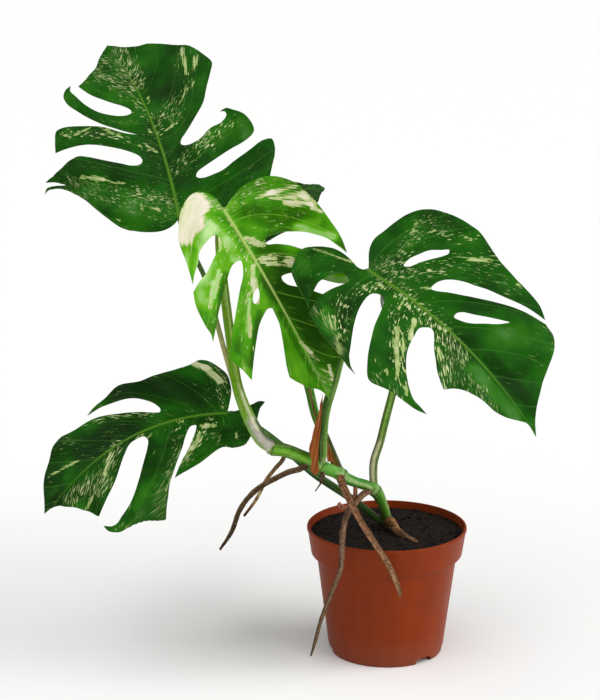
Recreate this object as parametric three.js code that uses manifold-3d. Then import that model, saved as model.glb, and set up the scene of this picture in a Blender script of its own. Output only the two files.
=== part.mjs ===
// A variegated monstera in a round nursery pot.
//
// Millimetres, +Z up. The origin is the middle of the pot's foot, on the surface it stands on.
// The plant creeps out of the soil to the left (-X) and forward (-Y), so that its aerial roots hang
// past the front of the rim. Six stalks stand alternately along the stem, each with one blade.

import * as THREE from 'three';
import { mergeVertices } from 'three/addons/utils/BufferGeometryUtils.js';
import Module from 'manifold-3d';

const wasm = await Module();
wasm.setup();

// ---------------------------------------------------------------- driving dimensions

const GAP = 0.3; // clearance between neighbouring pieces

const POT = {
  height: 123,
  rimRadius: 75,
  wall: 1.6,
  lipHeight: 4,
  lipRadius: 75.6,
  lipEdge: 0.8, // bevels on the lip
  bandRadius: 71.5, // lower edge of the rim band
  bandHeight: 26,
  bandUndercut: 4.6, // height of the slope from the band in to the body
  bodyRadius: 66,
  footRadius: 55,
  footHeight: 7, // top of the slope between the body and the foot ring
  footBevel: 3,
  ringRadius: 53.2, // where the foot ring meets the surface
  ringWidth: 7.2,
  floorHeight: 6, // raised underside inside the foot ring
  floorThickness: 2,
  discRadius: 14, // middle of the underside, which reaches the surface
  discSlope: 2,
  sides: 48,
};
const FOOT_NOTCH = { count: 3, width: 23, topWidth: 17, height: 5.5, margin: 1, first: 310 };
const DRAIN = { count: 8, radius: 4, circle: 32, sides: 12 };

const SOIL = { top: 116, clear: 0.5, bevel: 1, crown: 2.2, lumps: 1.1, lumpPitch: 20, ring: 9 };

const BLADE = {
  thickness: 0.9,
  cell: 12.5, // spacing of the points inside a blade
  clearance: 7, // least distance of those points from the midrib's
  foldRound: 6, // width over which the fold at the midrib is rounded
  swellReach: 40, // distance from the midrib at which the swells are full
  swellSlant: 0.55, // side veins run this much towards the tip for each unit outwards
};
const RIB = { spread: 3.2, step: 10, depth: 2.6, tipDepth: 0.3 };

const TUBE_SIDES = 9;
const TUBE_STEPS = 2; // between two points of a route

// The direction that an unrolled blade faces: forward and a little up.
const FRONT = new THREE.Vector3(0, -0.97, 0.244);

// ---------------------------------------------------------------- routes, each point [x, y, z, radius]

// Swollen rings mark the nodes, where a stalk and roots leave the stem.
const STEM = [
  [10, 14, 92, 4.8], [5.5, 12, 106, 4.8], [2, 10, 118, 4.9], [-3.6, 4, 141, 4.6],
  [-12, -5, 159, 6.2], [-19, -9, 164.6, 4.9], [-30, -14, 169.7, 4.9], [-40, -21, 176.4, 5.3],
  [-44, -23, 180, 6.6], [-50, -25, 183.4, 5.6], [-58.4, -29, 188, 5.7], [-64, -31, 191, 7],
  [-72, -33, 196.4, 6.4], [-82, -36, 202, 6.2], [-96, -40, 208.6, 6.2], [-108, -42, 211.4, 6.6],
  [-113, -42, 214.4, 3.4],
];

const STALKS = {
  a: [
    [-142, -33, 268, 2.2], [-147, -26, 283, 2.4], [-159, -6, 322, 2.4], [-170, 14, 358, 2.3],
    [-185, 30, 386, 2.4], [-192, 37, 403, 2.7], [-195, 40, 411, 2.6],
  ],
  b: [
    [-108, -42, 212, 6.0], [-117, -43, 219, 6.2], [-126, -43, 234, 5.9], [-134, -41, 252, 5.2],
    [-140, -36, 270, 4.7], [-146, -20, 308, 4.3], [-151, -6, 343, 4.2], [-154, 0, 369, 4.1],
    [-156, 0, 397, 4.0], [-154, -6, 415, 4.2], [-151, -20, 429, 3.4],
  ],
  c: [
    [-63.5, -31, 191, 4.6], [-61.7, -34, 205, 4.5], [-61.6, -36, 220, 4.5], [-59, -41, 246, 4.4],
    [-51, -49, 278, 4.3], [-42, -59, 318, 4.1], [-33, -71, 357, 4.0], [-28, -78, 377, 4.2],
    [-22, -82, 386, 3.4],
  ],
  d: [
    [-4, 10, 122, 3.6], [-20, 4, 137, 3.7], [-35, 0, 150, 3.9], [-52, -1, 162, 3.9],
    [-68, 0, 173, 3.9], [-93, 4, 194, 3.8], [-118, 11, 212, 3.8], [-134, 15, 221, 3.9],
    [-146, 15, 228, 3.9], [-151, 10, 230, 3.2],
  ],
  e: [
    [-45, -22, 181, 4.4], [-57, -13, 208, 4.3], [-68, -4, 233, 4.2], [-74, 5, 256, 4.1],
    [-84, 16, 284, 3.9], [-98, 30, 313, 3.8], [-114, 46, 344, 3.7], [-132, 61, 376, 3.7],
    [-143, 68, 392, 3.8], [-149, 70, 398, 3.1],
  ],
  f: [
    [-12.8, -5, 160, 3.8], [-12.9, 4, 183, 3.8], [-6.4, 11, 203, 3.7], [-2, 17, 220, 3.7],
    [5, 26, 245, 3.7], [11, 34, 266, 3.6], [12, 42, 288, 3.5], [11, 48, 311, 3.6],
    [11, 52, 325, 3.0],
  ],
};

const ROOTS = {
  root_a: [
    [-44, -24, 179, 3.6], [-44, -36, 177.4, 3.5], [-35.6, -54, 163, 3.3], [-26.4, -68, 149, 3.1],
    [-13.7, -82, 132, 2.9], [-2, -84, 114, 2.7], [6, -80, 94, 2.4], [10, -76, 80, 1.6],
  ],
  root_b: [
    [-14, -6, 160, 3.2], [-22, -16, 159.4, 3.2], [-30, -32, 156.6, 3.1], [-36.5, -47, 154, 2.9],
    [-40.7, -60, 148, 2.9], [-43, -71, 140, 2.9], [-44, -77, 127, 2.8], [-45, -80, 109, 2.5],
    [-51, -78, 90, 2.3], [-58, -72, 69, 2.1], [-63, -66, 52, 1.9], [-68, -60, 29, 1.6],
    [-72, -55, 13, 0.9],
  ],
  root_c: [
    [-72, -33, 196, 3.2], [-82.5, -40, 190.6, 2.9], [-92, -43, 188.8, 2.7], [-107, -48, 183, 2.6],
    [-120.5, -52, 176, 2.5], [-131, -55, 166, 2.5], [-138, -56, 155, 2.4], [-145, -57, 136, 2.2],
    [-156, -56, 118, 1.1],
  ],
  root_d: [
    [-96, -40, 207, 2.1], [-98, -37, 199, 2.0], [-106, -35, 188.5, 1.9], [-114, -37, 178, 1.8],
    [-122, -42, 163, 1.7], [-134, -46, 147, 1.2],
  ],
  root_e: [
    [-1, 9, 125, 3.8], [4, 1, 126, 4.2], [9, -10, 121, 3.8], [17, -22, 118.5, 2.9],
    [26, -31, 116, 2.4], [35, -38, 110, 2.0],
  ],
  root_nub: [
    [-62, -31, 188, 2.4], [-61.3, -38, 183, 2.3], [-62.2, -41, 179.5, 1.9],
    [-63.8, -43, 176.6, 0.8], [-66, -44, 173.7, 0.6], [-68.2, -44, 170.4, 0.5],
  ],
  root_stub: [
    [-30.4, -15, 168, 2.2], [-30.5, -17, 159.8, 2.1], [-32, -21, 151.6, 2.2],
    [-37.9, -24, 147.4, 2.3], [-43, -27, 149.5, 2.3], [-46.2, -28, 153.3, 1.9],
  ],
};

// ---------------------------------------------------------------- blades
//
// A blade is drawn flat and then bent. In the flat drawing b runs along the midrib from the base
// and a runs to the right of it, looking at the upper face with the tip up. Each stroke of the edge
// is one smooth curve, and strokes meet at the blade's corners: lobe tips, and slits that end sharp.
// bow bends the midrib sideways, arch lifts its middle, fold raises both halves from the midrib,
// droop is how far a margin 100 mm from the midrib falls, and wave is the height of the swells
// between the side veins, which lie pitch apart.

const LEAVES = {
  a: {
    base: [-195, 40, 411], tip: [-272, 190, 555], roll: 0,
    bow: 11.5, arch: 12, fold: 0.12, droop: 12, wave: 2, pitch: 44,
    edge: [
      [[0, 222], [16, 208], [42, 194], [67, 178], [82, 157], [87, 142], [81, 128], [72, 114],
        [64, 102], [50, 89], [38, 79], [30, 73], [29, 68], [35, 63], [47, 63], [60, 69], [72, 71],
        [79, 76], [79, 80], [75, 82]],
      [[75, 82], [81, 83], [87, 79], [95, 72], [98, 55], [96, 48], [84, 42], [66, 40], [42, 37],
        [32, 34], [30, 30], [35, 25], [52, 23], [67, 27], [86, 33], [101, 38], [109, 37], [109, 30],
        [106, 21], [94, 2], [82, -13], [64, -25], [42, -29], [21, -21], [8, -10], [0, 0]],
      [[0, 0], [-8, -5], [-17, -6], [-28, -3], [-41, 4], [-53, 13], [-61, 25], [-68, 38],
        [-76, 56], [-87, 73], [-96, 81], [-103, 84], [-109, 82]],
      [[-109, 82], [-104, 87], [-96, 84], [-86, 79]],
      [[-86, 79], [-93, 86], [-104, 93]],
      [[-104, 93], [-95, 94], [-83, 97], [-73, 102], [-66, 103], [-56, 96], [-45, 86], [-31, 74],
        [-22, 67], [-14, 65], [-11, 68], [-12, 75], [-22, 87], [-34, 97], [-48, 107], [-60, 113],
        [-74, 117], [-85, 119]],
      [[-85, 119], [-81, 130], [-76, 139], [-70, 140], [-60, 137], [-47, 130], [-35, 122],
        [-24, 111], [-15, 103], [-4, 96]],
      [[-4, 96], [-18, 108], [-30, 121], [-41, 137], [-50, 151], [-57, 164], [-58, 176], [-54, 186],
        [-48, 188]],
      [[-48, 188], [-50, 183], [-47, 171], [-42, 156], [-33, 142], [-21, 131], [-9, 124], [-3, 124],
        [-3, 128], [-9, 136], [-18, 145], [-31, 161], [-38, 176], [-41, 183]],
      [[-41, 183], [-29, 188], [-19, 196], [-12, 208], [-5, 216], [0, 222]],
    ],
    holes: [],
  },
  b: {
    base: [-151, -20, 429], tip: [-56, -80, 269], roll: -10,
    bow: -1, arch: 12, fold: 0.28, droop: 4, wave: 2, pitch: 46,
    edge: [
      [[0, 196], [-14, 179], [-26, 167], [-34, 157], [-40, 146], [-44, 133], [-45, 119]],
      [[-45, 119], [-37, 112], [-29, 103], [-21, 95], [-15, 89], [-13, 83], [-14, 80],
        [-18, 80], [-24, 82], [-33, 89], [-43, 100], [-53, 110], [-64, 117]],
      [[-64, 117], [-65, 108], [-62, 97], [-54, 82], [-40, 67], [-33, 59], [-24, 52], [-17, 48],
        [-17, 45], [-20, 42], [-27, 43], [-34, 45], [-42, 49], [-51, 55], [-58, 62], [-65, 71],
        [-69, 81], [-73, 91]],
      [[-73, 91], [-76, 71], [-74, 49], [-70, 23], [-67, 12], [-61, 3], [-54, -4], [-45, -9],
        [-34, -11], [-24, -11], [-13, -7], [0, 0]],
      [[0, 0], [0, -7], [1, -15], [4, -21], [10, -26], [18, -27], [27, -23], [36, -16], [47, 0],
        [52, 10], [57, 34], [61, 51]],
      [[61, 51], [56, 44], [47, 35], [41, 27], [31, 21], [21, 18], [18, 19], [19, 23], [23, 30],
        [33, 38], [46, 47], [55, 51], [64, 57]],
      [[64, 57], [68, 68], [70, 81], [70, 91], [69, 98], [71, 105]],
      [[71, 105], [65, 98], [57, 88], [48, 78], [38, 67], [29, 58], [21, 51], [14, 49], [11, 50],
        [12, 55], [17, 64], [25, 73], [34, 84], [43, 95], [52, 106], [59, 116], [65, 124]],
      [[65, 124], [63, 131], [59, 139], [56, 150]],
      [[56, 150], [45, 134], [36, 122], [26, 110], [17, 103], [11, 100], [7, 102], [7, 108],
        [9, 118], [13, 130], [18, 143], [22, 154], [24, 163]],
      [[24, 163], [19, 170], [12, 179], [5, 184], [2, 189], [0, 196]],
    ],
    holes: [
      [[10, 79], [11, 84], [15, 89], [20, 91], [20, 88], [16, 82]],
    ],
  },
  c: {
    base: [-22, -82, 386], tip: [123, -138, 251], roll: -20,
    bow: -5, arch: 20, fold: 0.15, droop: 12, wave: 2, pitch: 44,
    edge: [
      [[0, 206], [-9, 195], [-16, 189], [-25, 183], [-36, 177], [-47, 172], [-57, 167], [-65, 162],
        [-72, 154], [-74, 143]],
      [[-74, 143], [-67, 126], [-60, 110], [-53, 97], [-45, 85], [-37, 74], [-29, 63], [-23, 55],
        [-22, 51], [-26, 50], [-34, 52], [-40, 57], [-46, 66], [-51, 76], [-57, 86], [-63, 99],
        [-68, 113], [-72, 127], [-76, 140]],
      [[-76, 140], [-81, 125], [-84, 109], [-83, 95], [-84, 81], [-88, 68], [-91, 54], [-95, 40],
        [-95, 29], [-92, 17], [-87, 6], [-81, -4], [-74, -10], [-64, -14], [-51, -16], [-39, -17],
        [-28, -18], [-19, -15], [-13, -11], [-5, -4], [0, 0]],
      [[0, 0], [3, -8], [1, -19], [0, -31], [2, -41], [9, -51], [17, -58], [26, -57], [36, -53],
        [43, -49], [49, -40], [55, -29], [61, -18], [65, -11]],
      [[65, -11], [57, -17], [49, -20], [39, -23], [30, -22], [22, -20], [17, -16], [17, -9],
        [20, -5], [26, -7], [34, -10], [44, -12], [54, -12], [63, -10], [69, -8]],
      [[69, -8], [73, 3], [76, 14], [78, 27], [82, 40], [85, 52], [85, 60]],
      [[85, 60], [83, 53], [78, 46], [70, 40], [60, 33], [49, 26], [36, 20], [22, 17], [16, 18],
        [12, 23], [12, 27], [14, 30], [25, 35], [38, 40], [49, 46], [62, 54], [72, 62], [78, 68],
        [80, 73], [79, 80], [76, 89], [73, 99], [71, 109], [70, 118], [67, 127]],
      [[67, 127], [66, 119], [65, 111], [62, 104], [57, 96], [50, 87], [41, 79], [32, 74], [22, 71],
        [13, 69], [8, 72], [5, 76], [6, 80], [10, 84], [18, 91], [25, 99], [32, 107], [37, 116],
        [39, 122]],
      [[39, 122], [31, 127], [25, 135], [21, 145], [18, 155], [16, 165], [12, 176], [4, 186],
        [-1, 193], [0, 206]],
    ],
    holes: [
      [[-23, 19], [-31, 18], [-40, 21], [-49, 25], [-56, 32], [-61, 37], [-58, 39], [-51, 36],
        [-44, 32], [-35, 27], [-26, 23]],
      [[-17, 83], [-21, 82], [-26, 85], [-32, 95], [-38, 104], [-45, 114], [-49, 120], [-40, 114],
        [-31, 105], [-24, 98], [-19, 90]],
    ],
  },
  d: {
    base: [-151, 10, 230], tip: [-313, -70, 156], roll: 32,
    bow: 19, arch: 16, fold: 0.15, droop: 10, wave: 2, pitch: 42,
    edge: [
      [[3, 196], [13, 190], [27, 182], [45, 165], [52, 157], [55, 147], [55, 138], [56, 129],
        [56, 120], [54, 111], [51, 102], [47, 91], [43, 80], [37, 69], [31, 61], [28, 55], [31, 53],
        [39, 55], [46, 60], [53, 68], [58, 77], [61, 87], [61, 98], [60, 106], [60, 114]],
      [[60, 114], [64, 104], [68, 94], [71, 83], [72, 75], [70, 60], [68, 44], [65, 29], [66, 12],
        [64, -1], [65, -13], [62, -20], [53, -24], [42, -26], [30, -23], [22, -19], [12, -11],
        [4, -4], [0, 0]],
      [[0, 0], [-1, -12], [1, -28], [3, -38], [0, -42]],
      [[0, -42], [-5, -34], [-16, -24], [-26, -15], [-35, -4], [-42, 8], [-42, 19], [-38, 28],
        [-39, 42], [-42, 57], [-45, 72], [-46, 84]],
      [[-46, 84], [-39, 76], [-32, 67], [-24, 56], [-14, 45], [-7, 38], [-1, 34], [0, 39],
        [-7, 48], [-21, 61], [-29, 70], [-38, 80], [-47, 90], [-57, 98], [-67, 106], [-77, 113]],
      [[-77, 113], [-71, 125], [-67, 134], [-63, 144], [-62, 154], [-57, 161], [-49, 162]],
      [[-49, 162], [-54, 157], [-54, 151], [-49, 142], [-44, 131], [-38, 122], [-27, 110],
        [-13, 97], [-2, 87], [7, 81], [13, 82], [14, 89], [13, 97], [5, 108], [-4, 118], [-15, 130],
        [-25, 143], [-33, 154], [-37, 160]],
      [[-37, 160], [-25, 164], [-17, 169], [-8, 176], [0, 182], [3, 188], [3, 196]],
    ],
    holes: [],
  },
  e: {
    base: [-149, 70, 398], tip: [-59, 170, 416], roll: -40,
    bow: 0, arch: 12, fold: 0.12, droop: 10, wave: 1, pitch: 40,
    edge: [
      [[-2, 141], [4, 132], [8, 124], [15, 112], [25, 97], [34, 80]],
      [[34, 80], [26, 66], [15, 54], [11, 48], [15, 45], [26, 52], [41, 64]],
      [[41, 64], [43, 50], [45, 34], [45, 20], [40, 0], [28, -15], [14, -20], [5, -12], [0, 0]],
      [[0, 0], [-4, -12], [-12, -20], [-22, -18], [-32, -6], [-38, 12], [-40, 28], [-39, 42]],
      [[-39, 42], [-27, 33], [-17, 28], [-12, 31], [-16, 38], [-26, 46], [-37, 56]],
      [[-37, 56], [-34, 66], [-28, 78], [-20, 91], [-12, 108], [-7, 119], [-8, 130], [-7, 138],
        [-2, 141]],
    ],
    holes: [],
  },
  f: {
    base: [11, 52, 325], tip: [15, 180, 250], roll: 90,
    bow: 0, arch: 10, fold: 0.12, droop: 8, wave: 1, pitch: 40,
    edge: [
      [[0, 148], [7, 132], [20, 117], [33, 102], [44, 87]],
      [[44, 87], [32, 76], [20, 64], [14, 57], [18, 53], [32, 61], [50, 75]],
      [[50, 75], [55, 60], [58, 46]],
      [[58, 46], [42, 36], [26, 27], [19, 21], [24, 17], [40, 22], [59, 32]],
      [[59, 32], [57, 10], [48, -8], [34, -19], [19, -21], [7, -12], [0, 0]],
      [[0, 0], [-7, -13], [-18, -22], [-32, -20], [-46, -8], [-54, 10], [-56, 30]],
      [[-56, 30], [-40, 24], [-26, 19], [-19, 24], [-26, 30], [-42, 38], [-56, 49]],
      [[-56, 49], [-53, 64], [-48, 78]],
      [[-48, 78], [-32, 65], [-19, 57], [-14, 61], [-20, 69], [-32, 79], [-42, 90]],
      [[-42, 90], [-31, 105], [-18, 120], [-6, 134], [0, 148]],
    ],
    holes: [],
  },
};

// Dry brown sheaths: narrow papery blades with no midrib, which curl back round the stalk.
const SHEATHS = {
  sheath_a: {
    base: [-69, -42.5, 188], tip: [-61.5, -57, 268], roll: -35,
    bow: 0, arch: -2, fold: 0, droop: 120, wave: 0, pitch: 40,
    edge: [[[0, 82], [0.4, 67], [-0.4, 56], [0, 45], [0.2, 31], [1, 18], [3.2, 9], [4.5, 3]],
      [[4.5, 3], [1.4, -1], [-1.7, -1], [-5, 1.5]],
      [[-5, 1.5], [-4.8, 9], [-7.6, 14], [-11, 19]],
      [[-11, 19], [-8.7, 32], [-6.6, 47], [-4, 58], [-2.3, 69], [0, 82]]],
    holes: [],
  },
  sheath_b: {
    base: [-54, -28, 194.7], tip: [-57.7, -25, 213.5], roll: 0,
    bow: 0, arch: 1, fold: 0, droop: 120, wave: 0, pitch: 40,
    edge: [[[0, 20], [1.4, 12], [2.4, 6], [2.8, 0]], [[2.8, 0], [-2.8, 0]],
      [[-2.8, 0], [-1.8, 9], [-0.6, 15], [0, 20]]],
    holes: [],
  },
};

// ---------------------------------------------------------------- materials

const material = (color, roughness) => new THREE.MeshStandardMaterial({ color, roughness, metalness: 0 });

const MATERIALS = {
  pot: material(0x9c4027, 0.55),
  soil: material(0x1d1410, 0.95),
  stem: material(0x5f8f2e, 0.5),
  stalk: material(0x6f9a3c, 0.45),
  paleStalk: material(0xc9cf9a, 0.45),
  root: material(0x5a3d26, 0.85),
  sheath: material(0x7a4526, 0.9),
  leaf: material(0x1f4a1c, 0.35),
  youngLeaf: material(0x6da32a, 0.35),
};

// ---------------------------------------------------------------- solids

// A geometry with shared corner points only, which is what a solid is made from.
function welded(geometry) {
  geometry.deleteAttribute('normal');
  geometry.deleteAttribute('uv');
  return mergeVertices(geometry, 1e-4);
}

function toSolid(geometry) {
  const closed = welded(geometry);
  return new wasm.Manifold(new wasm.Mesh({
    numProp: 3,
    vertProperties: new Float32Array(closed.attributes.position.array),
    triVerts: new Uint32Array(closed.index.array),
  }));
}

function toGeometry(solid) {
  const mesh = solid.getMesh();
  const geometry = new THREE.BufferGeometry();
  geometry.setAttribute('position', new THREE.BufferAttribute(mesh.vertProperties, 3));
  geometry.setIndex(new THREE.BufferAttribute(mesh.triVerts, 1));
  return geometry;
}

// The solid less every cutter.
const cut = (solid, cutters) => cutters.reduce((rest, cutter) => rest.subtract(cutter), solid);

// A round tube along a route, as a cylinder bent to the curve; grow adds to its radius and its ends.
function tube(route, grow = 0) {
  const curve = new THREE.CatmullRomCurve3(route.map(([x, y, z]) => new THREE.Vector3(x, y, z)));
  const steps = (route.length - 1) * TUBE_STEPS;
  const frames = curve.computeFrenetFrames(steps);
  const geometry = new THREE.CylinderGeometry(1, 1, 1, TUBE_SIDES, steps);
  const position = geometry.attributes.position;
  const point = new THREE.Vector3();
  for (let i = 0; i < position.count; i++) {
    const step = Math.round((position.getY(i) + 0.5) * steps);
    const u = step / steps;
    const radius = radiusAt(route, curve.getUtoTmapping(u)) + grow;
    const past = { 0: -grow, [steps]: grow }[step] ?? 0;
    point.copy(curve.getPointAt(u)).addScaledVector(frames.tangents[step], past);
    point.addScaledVector(frames.normals[step], position.getX(i) * radius);
    point.addScaledVector(frames.binormals[step], -position.getZ(i) * radius);
    position.setXYZ(i, point.x, point.y, point.z);
  }
  return toSolid(geometry);
}

function radiusAt(route, t) {
  const along = t * (route.length - 1);
  const i = Math.min(Math.floor(along), route.length - 2);
  return THREE.MathUtils.lerp(route[i][3], route[i + 1][3], along - i);
}

// ---------------------------------------------------------------- flat triangles of a blade

// The strokes of an edge as one closed loop of points, without repeats at the corners.
function loopOf(strokes, closed = false) {
  const loop = [];
  for (const stroke of strokes) {
    const curve = new THREE.CatmullRomCurve3(stroke.map(([a, b]) => new THREE.Vector3(a, b, 0)), closed);
    const spans = closed ? stroke.length : stroke.length - 1;
    const points = stroke.length > 2 ? curve.getPoints(spans * 2) : curve.getPoints(2);
    points.pop();
    loop.push(...points.map((p) => [p.x, p.y]));
  }
  return loop;
}

// Even-odd test, so that holes count as outside.
function isInside(loops, [a, b]) {
  let inside = false;
  for (const loop of loops) {
    loop.forEach(([a1, b1], i) => {
      const [a0, b0] = loop[(i + loop.length - 1) % loop.length];
      if (b1 > b !== b0 > b && a < a1 + ((b - b1) * (a0 - a1)) / (b0 - b1)) inside = !inside;
    });
  }
  return inside;
}

const distance = ([a, b], [c, d]) => Math.hypot(a - c, b - d);

// Delaunay triangles of a set of points, by adding one point after another.
function delaunay(points) {
  const far = 1e4;
  const all = [...points, [-far, -far], [far, -far], [0, far]];
  const n = points.length;
  let triangles = [withCircle(all, n, n + 1, n + 2)];
  for (let p = 0; p < n; p++) {
    const edges = new Map();
    const kept = [];
    for (const triangle of triangles) {
      if (distance(all[p], triangle.centre) >= triangle.radius) {
        kept.push(triangle);
        continue;
      }
      triangle.corners.forEach((from, k) => {
        const to = triangle.corners[(k + 1) % 3];
        if (!edges.delete(`${to},${from}`)) edges.set(`${from},${to}`, [from, to]);
      });
    }
    for (const [from, to] of edges.values()) kept.push(withCircle(all, from, to, p));
    triangles = kept;
  }
  return triangles.map((triangle) => triangle.corners).filter((corners) => Math.max(...corners) < n);
}

function withCircle(points, i, j, k) {
  const [[ax, ay], [bx, by], [cx, cy]] = [points[i], points[j], points[k]];
  const d = 2 * (ax * (by - cy) + bx * (cy - ay) + cx * (ay - by));
  const [a2, b2, c2] = [ax * ax + ay * ay, bx * bx + by * by, cx * cx + cy * cy];
  const centre = [
    (a2 * (by - cy) + b2 * (cy - ay) + c2 * (ay - by)) / d,
    (a2 * (cx - bx) + b2 * (ax - cx) + c2 * (bx - ax)) / d,
  ];
  return { corners: [i, j, k], centre, radius: distance(centre, [ax, ay]) };
}

// Rows of points along the midrib and an even grid elsewhere, clear of each other and of the edge.
function innerPoints(leaf, length, loops) {
  const fits = (p, reach) => isInside(loops, p) && loops.flat().every((q) => distance(p, q) > reach);
  const rib = [];
  if (leaf.rib !== false) {
    for (let b = RIB.step; b < length - RIB.step; b += RIB.step) {
      for (const side of [-1, 0, 1]) rib.push([midribAt(leaf, b / length) + side * RIB.spread, b]);
    }
  }
  const grid = [];
  const rowHeight = BLADE.cell * Math.sqrt(0.75);
  const [left, right, low, high] = extent(loops[0]);
  for (let row = Math.ceil(low / rowHeight); row * rowHeight < high; row++) {
    const shift = row % 2 ? BLADE.cell / 2 : 0;
    for (let column = Math.floor(left / BLADE.cell); column * BLADE.cell < right; column++) {
      grid.push([column * BLADE.cell + shift, row * rowHeight]);
    }
  }
  const onRib = rib.filter((p) => fits(p, RIB.spread * 0.9));
  const apart = (p) => onRib.every((q) => distance(p, q) > BLADE.clearance);
  return [...onRib, ...grid.filter((p) => apart(p) && fits(p, BLADE.cell / 2))];
}

function extent(loop) {
  const [a, b] = [0, 1].map((axis) => loop.map((p) => p[axis]));
  return [Math.min(...a), Math.max(...a), Math.min(...b), Math.max(...b)];
}

// Triangles of the flat blade that hold every edge span; a span that is lost is split in two.
function flatBlade(leaf, length) {
  let loops = [loopOf(leaf.edge), ...leaf.holes.map((hole) => loopOf([hole], true))];
  const inner = innerPoints(leaf, length, loops);
  for (;;) {
    const points = [...loops.flat(), ...inner];
    const triangles = delaunay(points).filter((corners) => isInside(loops, middle(points, corners)));
    const present = new Set();
    for (const corners of triangles) {
      corners.forEach((from, k) => present.add(`${from},${corners[(k + 1) % 3]}`));
    }
    let first = 0;
    let missing = 0;
    const refined = loops.map((loop) => {
      const next = [];
      loop.forEach((p, i) => {
        const j = (i + 1) % loop.length;
        next.push(p);
        if (present.has(`${first + i},${first + j}`) || present.has(`${first + j},${first + i}`)) return;
        missing += 1;
        next.push([(p[0] + loop[j][0]) / 2, (p[1] + loop[j][1]) / 2]);
      });
      first += loop.length;
      return next;
    });
    if (!missing) return { points, triangles };
    loops = refined;
  }
}

const middle = (points, corners) => [0, 1].map((axis) => corners.reduce((s, c) => s + points[c][axis] / 3, 0));

// ---------------------------------------------------------------- bent blades

const midribAt = (leaf, t) => {
  const q = THREE.MathUtils.clamp(t, 0, 1);
  return leaf.bow * 4 * q * (1 - q);
};

// Height of the upper face over the flat drawing.
function bend(leaf, length, a, b) {
  const q = THREE.MathUtils.clamp(b / length, -0.3, 1.05);
  const off = Math.abs(a - midribAt(leaf, b / length));
  const phase = (2 * Math.PI * (b - BLADE.swellSlant * off)) / leaf.pitch;
  const swell = leaf.wave * Math.min(off / BLADE.swellReach, 1) * Math.cos(phase);
  const fold = leaf.fold * (Math.hypot(off, BLADE.foldRound) - BLADE.foldRound);
  return leaf.arch * 4 * q * (1 - q) + fold + swell - leaf.droop * (off / 100) ** 2;
}

// The midrib stands out of the lower face, deepest at the base.
function thickness(leaf, length, a, b) {
  const off = Math.abs(a - midribAt(leaf, b / length));
  if (leaf.rib === false || off > RIB.spread / 2 || b < 0) return BLADE.thickness;
  return BLADE.thickness + THREE.MathUtils.lerp(RIB.depth, RIB.tipDepth, Math.min(b / length, 1));
}

function blade(leaf) {
  const base = new THREE.Vector3(...leaf.base);
  const along = new THREE.Vector3(...leaf.tip).sub(base);
  const length = along.length();
  along.normalize();
  const up = FRONT.clone().projectOnPlane(along).normalize();
  up.applyAxisAngle(along, THREE.MathUtils.degToRad(leaf.roll));
  const across = along.clone().cross(up);

  const { points, triangles } = flatBlade(leaf, length);
  const place = ([a, b], drop) => base.clone()
    .addScaledVector(across, a).addScaledVector(along, b)
    .addScaledVector(up, bend(leaf, length, a, b) - drop);
  const upper = points.map((p) => place(p, 0));
  const lower = points.map((p) => place(p, thickness(leaf, length, ...p)));

  const n = points.length;
  const index = [];
  const open = new Map();
  for (const [i, j, k] of triangles) {
    const [[ax, ay], [bx, by], [cx, cy]] = [points[i], points[j], points[k]];
    const leftTurn = (bx - ax) * (cy - ay) - (by - ay) * (cx - ax) > 0;
    const corners = leftTurn ? [i, j, k] : [i, k, j];
    index.push(...corners, ...corners.map((c) => c + n).reverse());
    corners.forEach((from, c) => {
      const to = corners[(c + 1) % 3];
      if (!open.delete(`${to},${from}`)) open.set(`${from},${to}`, [from, to]);
    });
  }
  for (const [from, to] of open.values()) index.push(from, from + n, to, to, from + n, to + n);

  const geometry = new THREE.BufferGeometry();
  geometry.setAttribute('position', new THREE.Float32BufferAttribute(
    [...upper, ...lower].flatMap((p) => [p.x, p.y, p.z]), 3));
  geometry.setIndex(index);
  return toSolid(geometry);
}

// ---------------------------------------------------------------- pot and soil

// The inside of the pot, from its brim down to the middle of its floor, as [radius, height].
function potInside() {
  const bandFoot = POT.height - POT.bandHeight;
  const footInner = POT.footRadius - POT.wall;
  const floor = POT.floorHeight + POT.floorThickness;
  return [
    [POT.rimRadius - POT.wall, POT.height], [POT.bandRadius - POT.wall, bandFoot + POT.wall],
    [POT.bodyRadius - POT.wall, bandFoot - POT.bandUndercut + POT.wall],
    [footInner, POT.footHeight + POT.footBevel], [footInner - POT.footBevel, floor], [0, floor],
  ];
}

function pot() {
  const bandFoot = POT.height - POT.bandHeight;
  const lipFoot = POT.height - POT.lipHeight;
  const ringInner = POT.ringRadius - POT.ringWidth;
  const outside = [
    [0, 0], [POT.discRadius, 0], [POT.discRadius + POT.discSlope, POT.floorHeight],
    [ringInner, POT.floorHeight], [ringInner, 0], [POT.ringRadius, 0],
    [POT.footRadius - POT.footBevel / 3, POT.footBevel], [POT.footRadius, POT.footHeight],
    [POT.bodyRadius, bandFoot - POT.bandUndercut], [POT.bandRadius, bandFoot],
    [POT.lipRadius - POT.lipEdge, lipFoot], [POT.lipRadius, lipFoot + POT.lipEdge],
    [POT.lipRadius, POT.height - POT.lipEdge], [POT.lipRadius - POT.lipEdge, POT.height],
  ];
  const body = toSolid(turned([...outside, ...potInside()]));
  return cut(body, [...footNotches(), ...drainHoles()]);
}

// A profile of [radius, height] points turned round Z.
function turned(profile) {
  const points = profile.map(([r, z]) => new THREE.Vector2(r, z));
  return new THREE.LatheGeometry(points, POT.sides).rotateX(Math.PI / 2);
}

function around({ count, first = 0 }, make) {
  return Array.from({ length: count }, (_, i) => {
    const angle = THREE.MathUtils.degToRad(first) + (i * 2 * Math.PI) / count;
    return toSolid(make(angle));
  });
}

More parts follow.
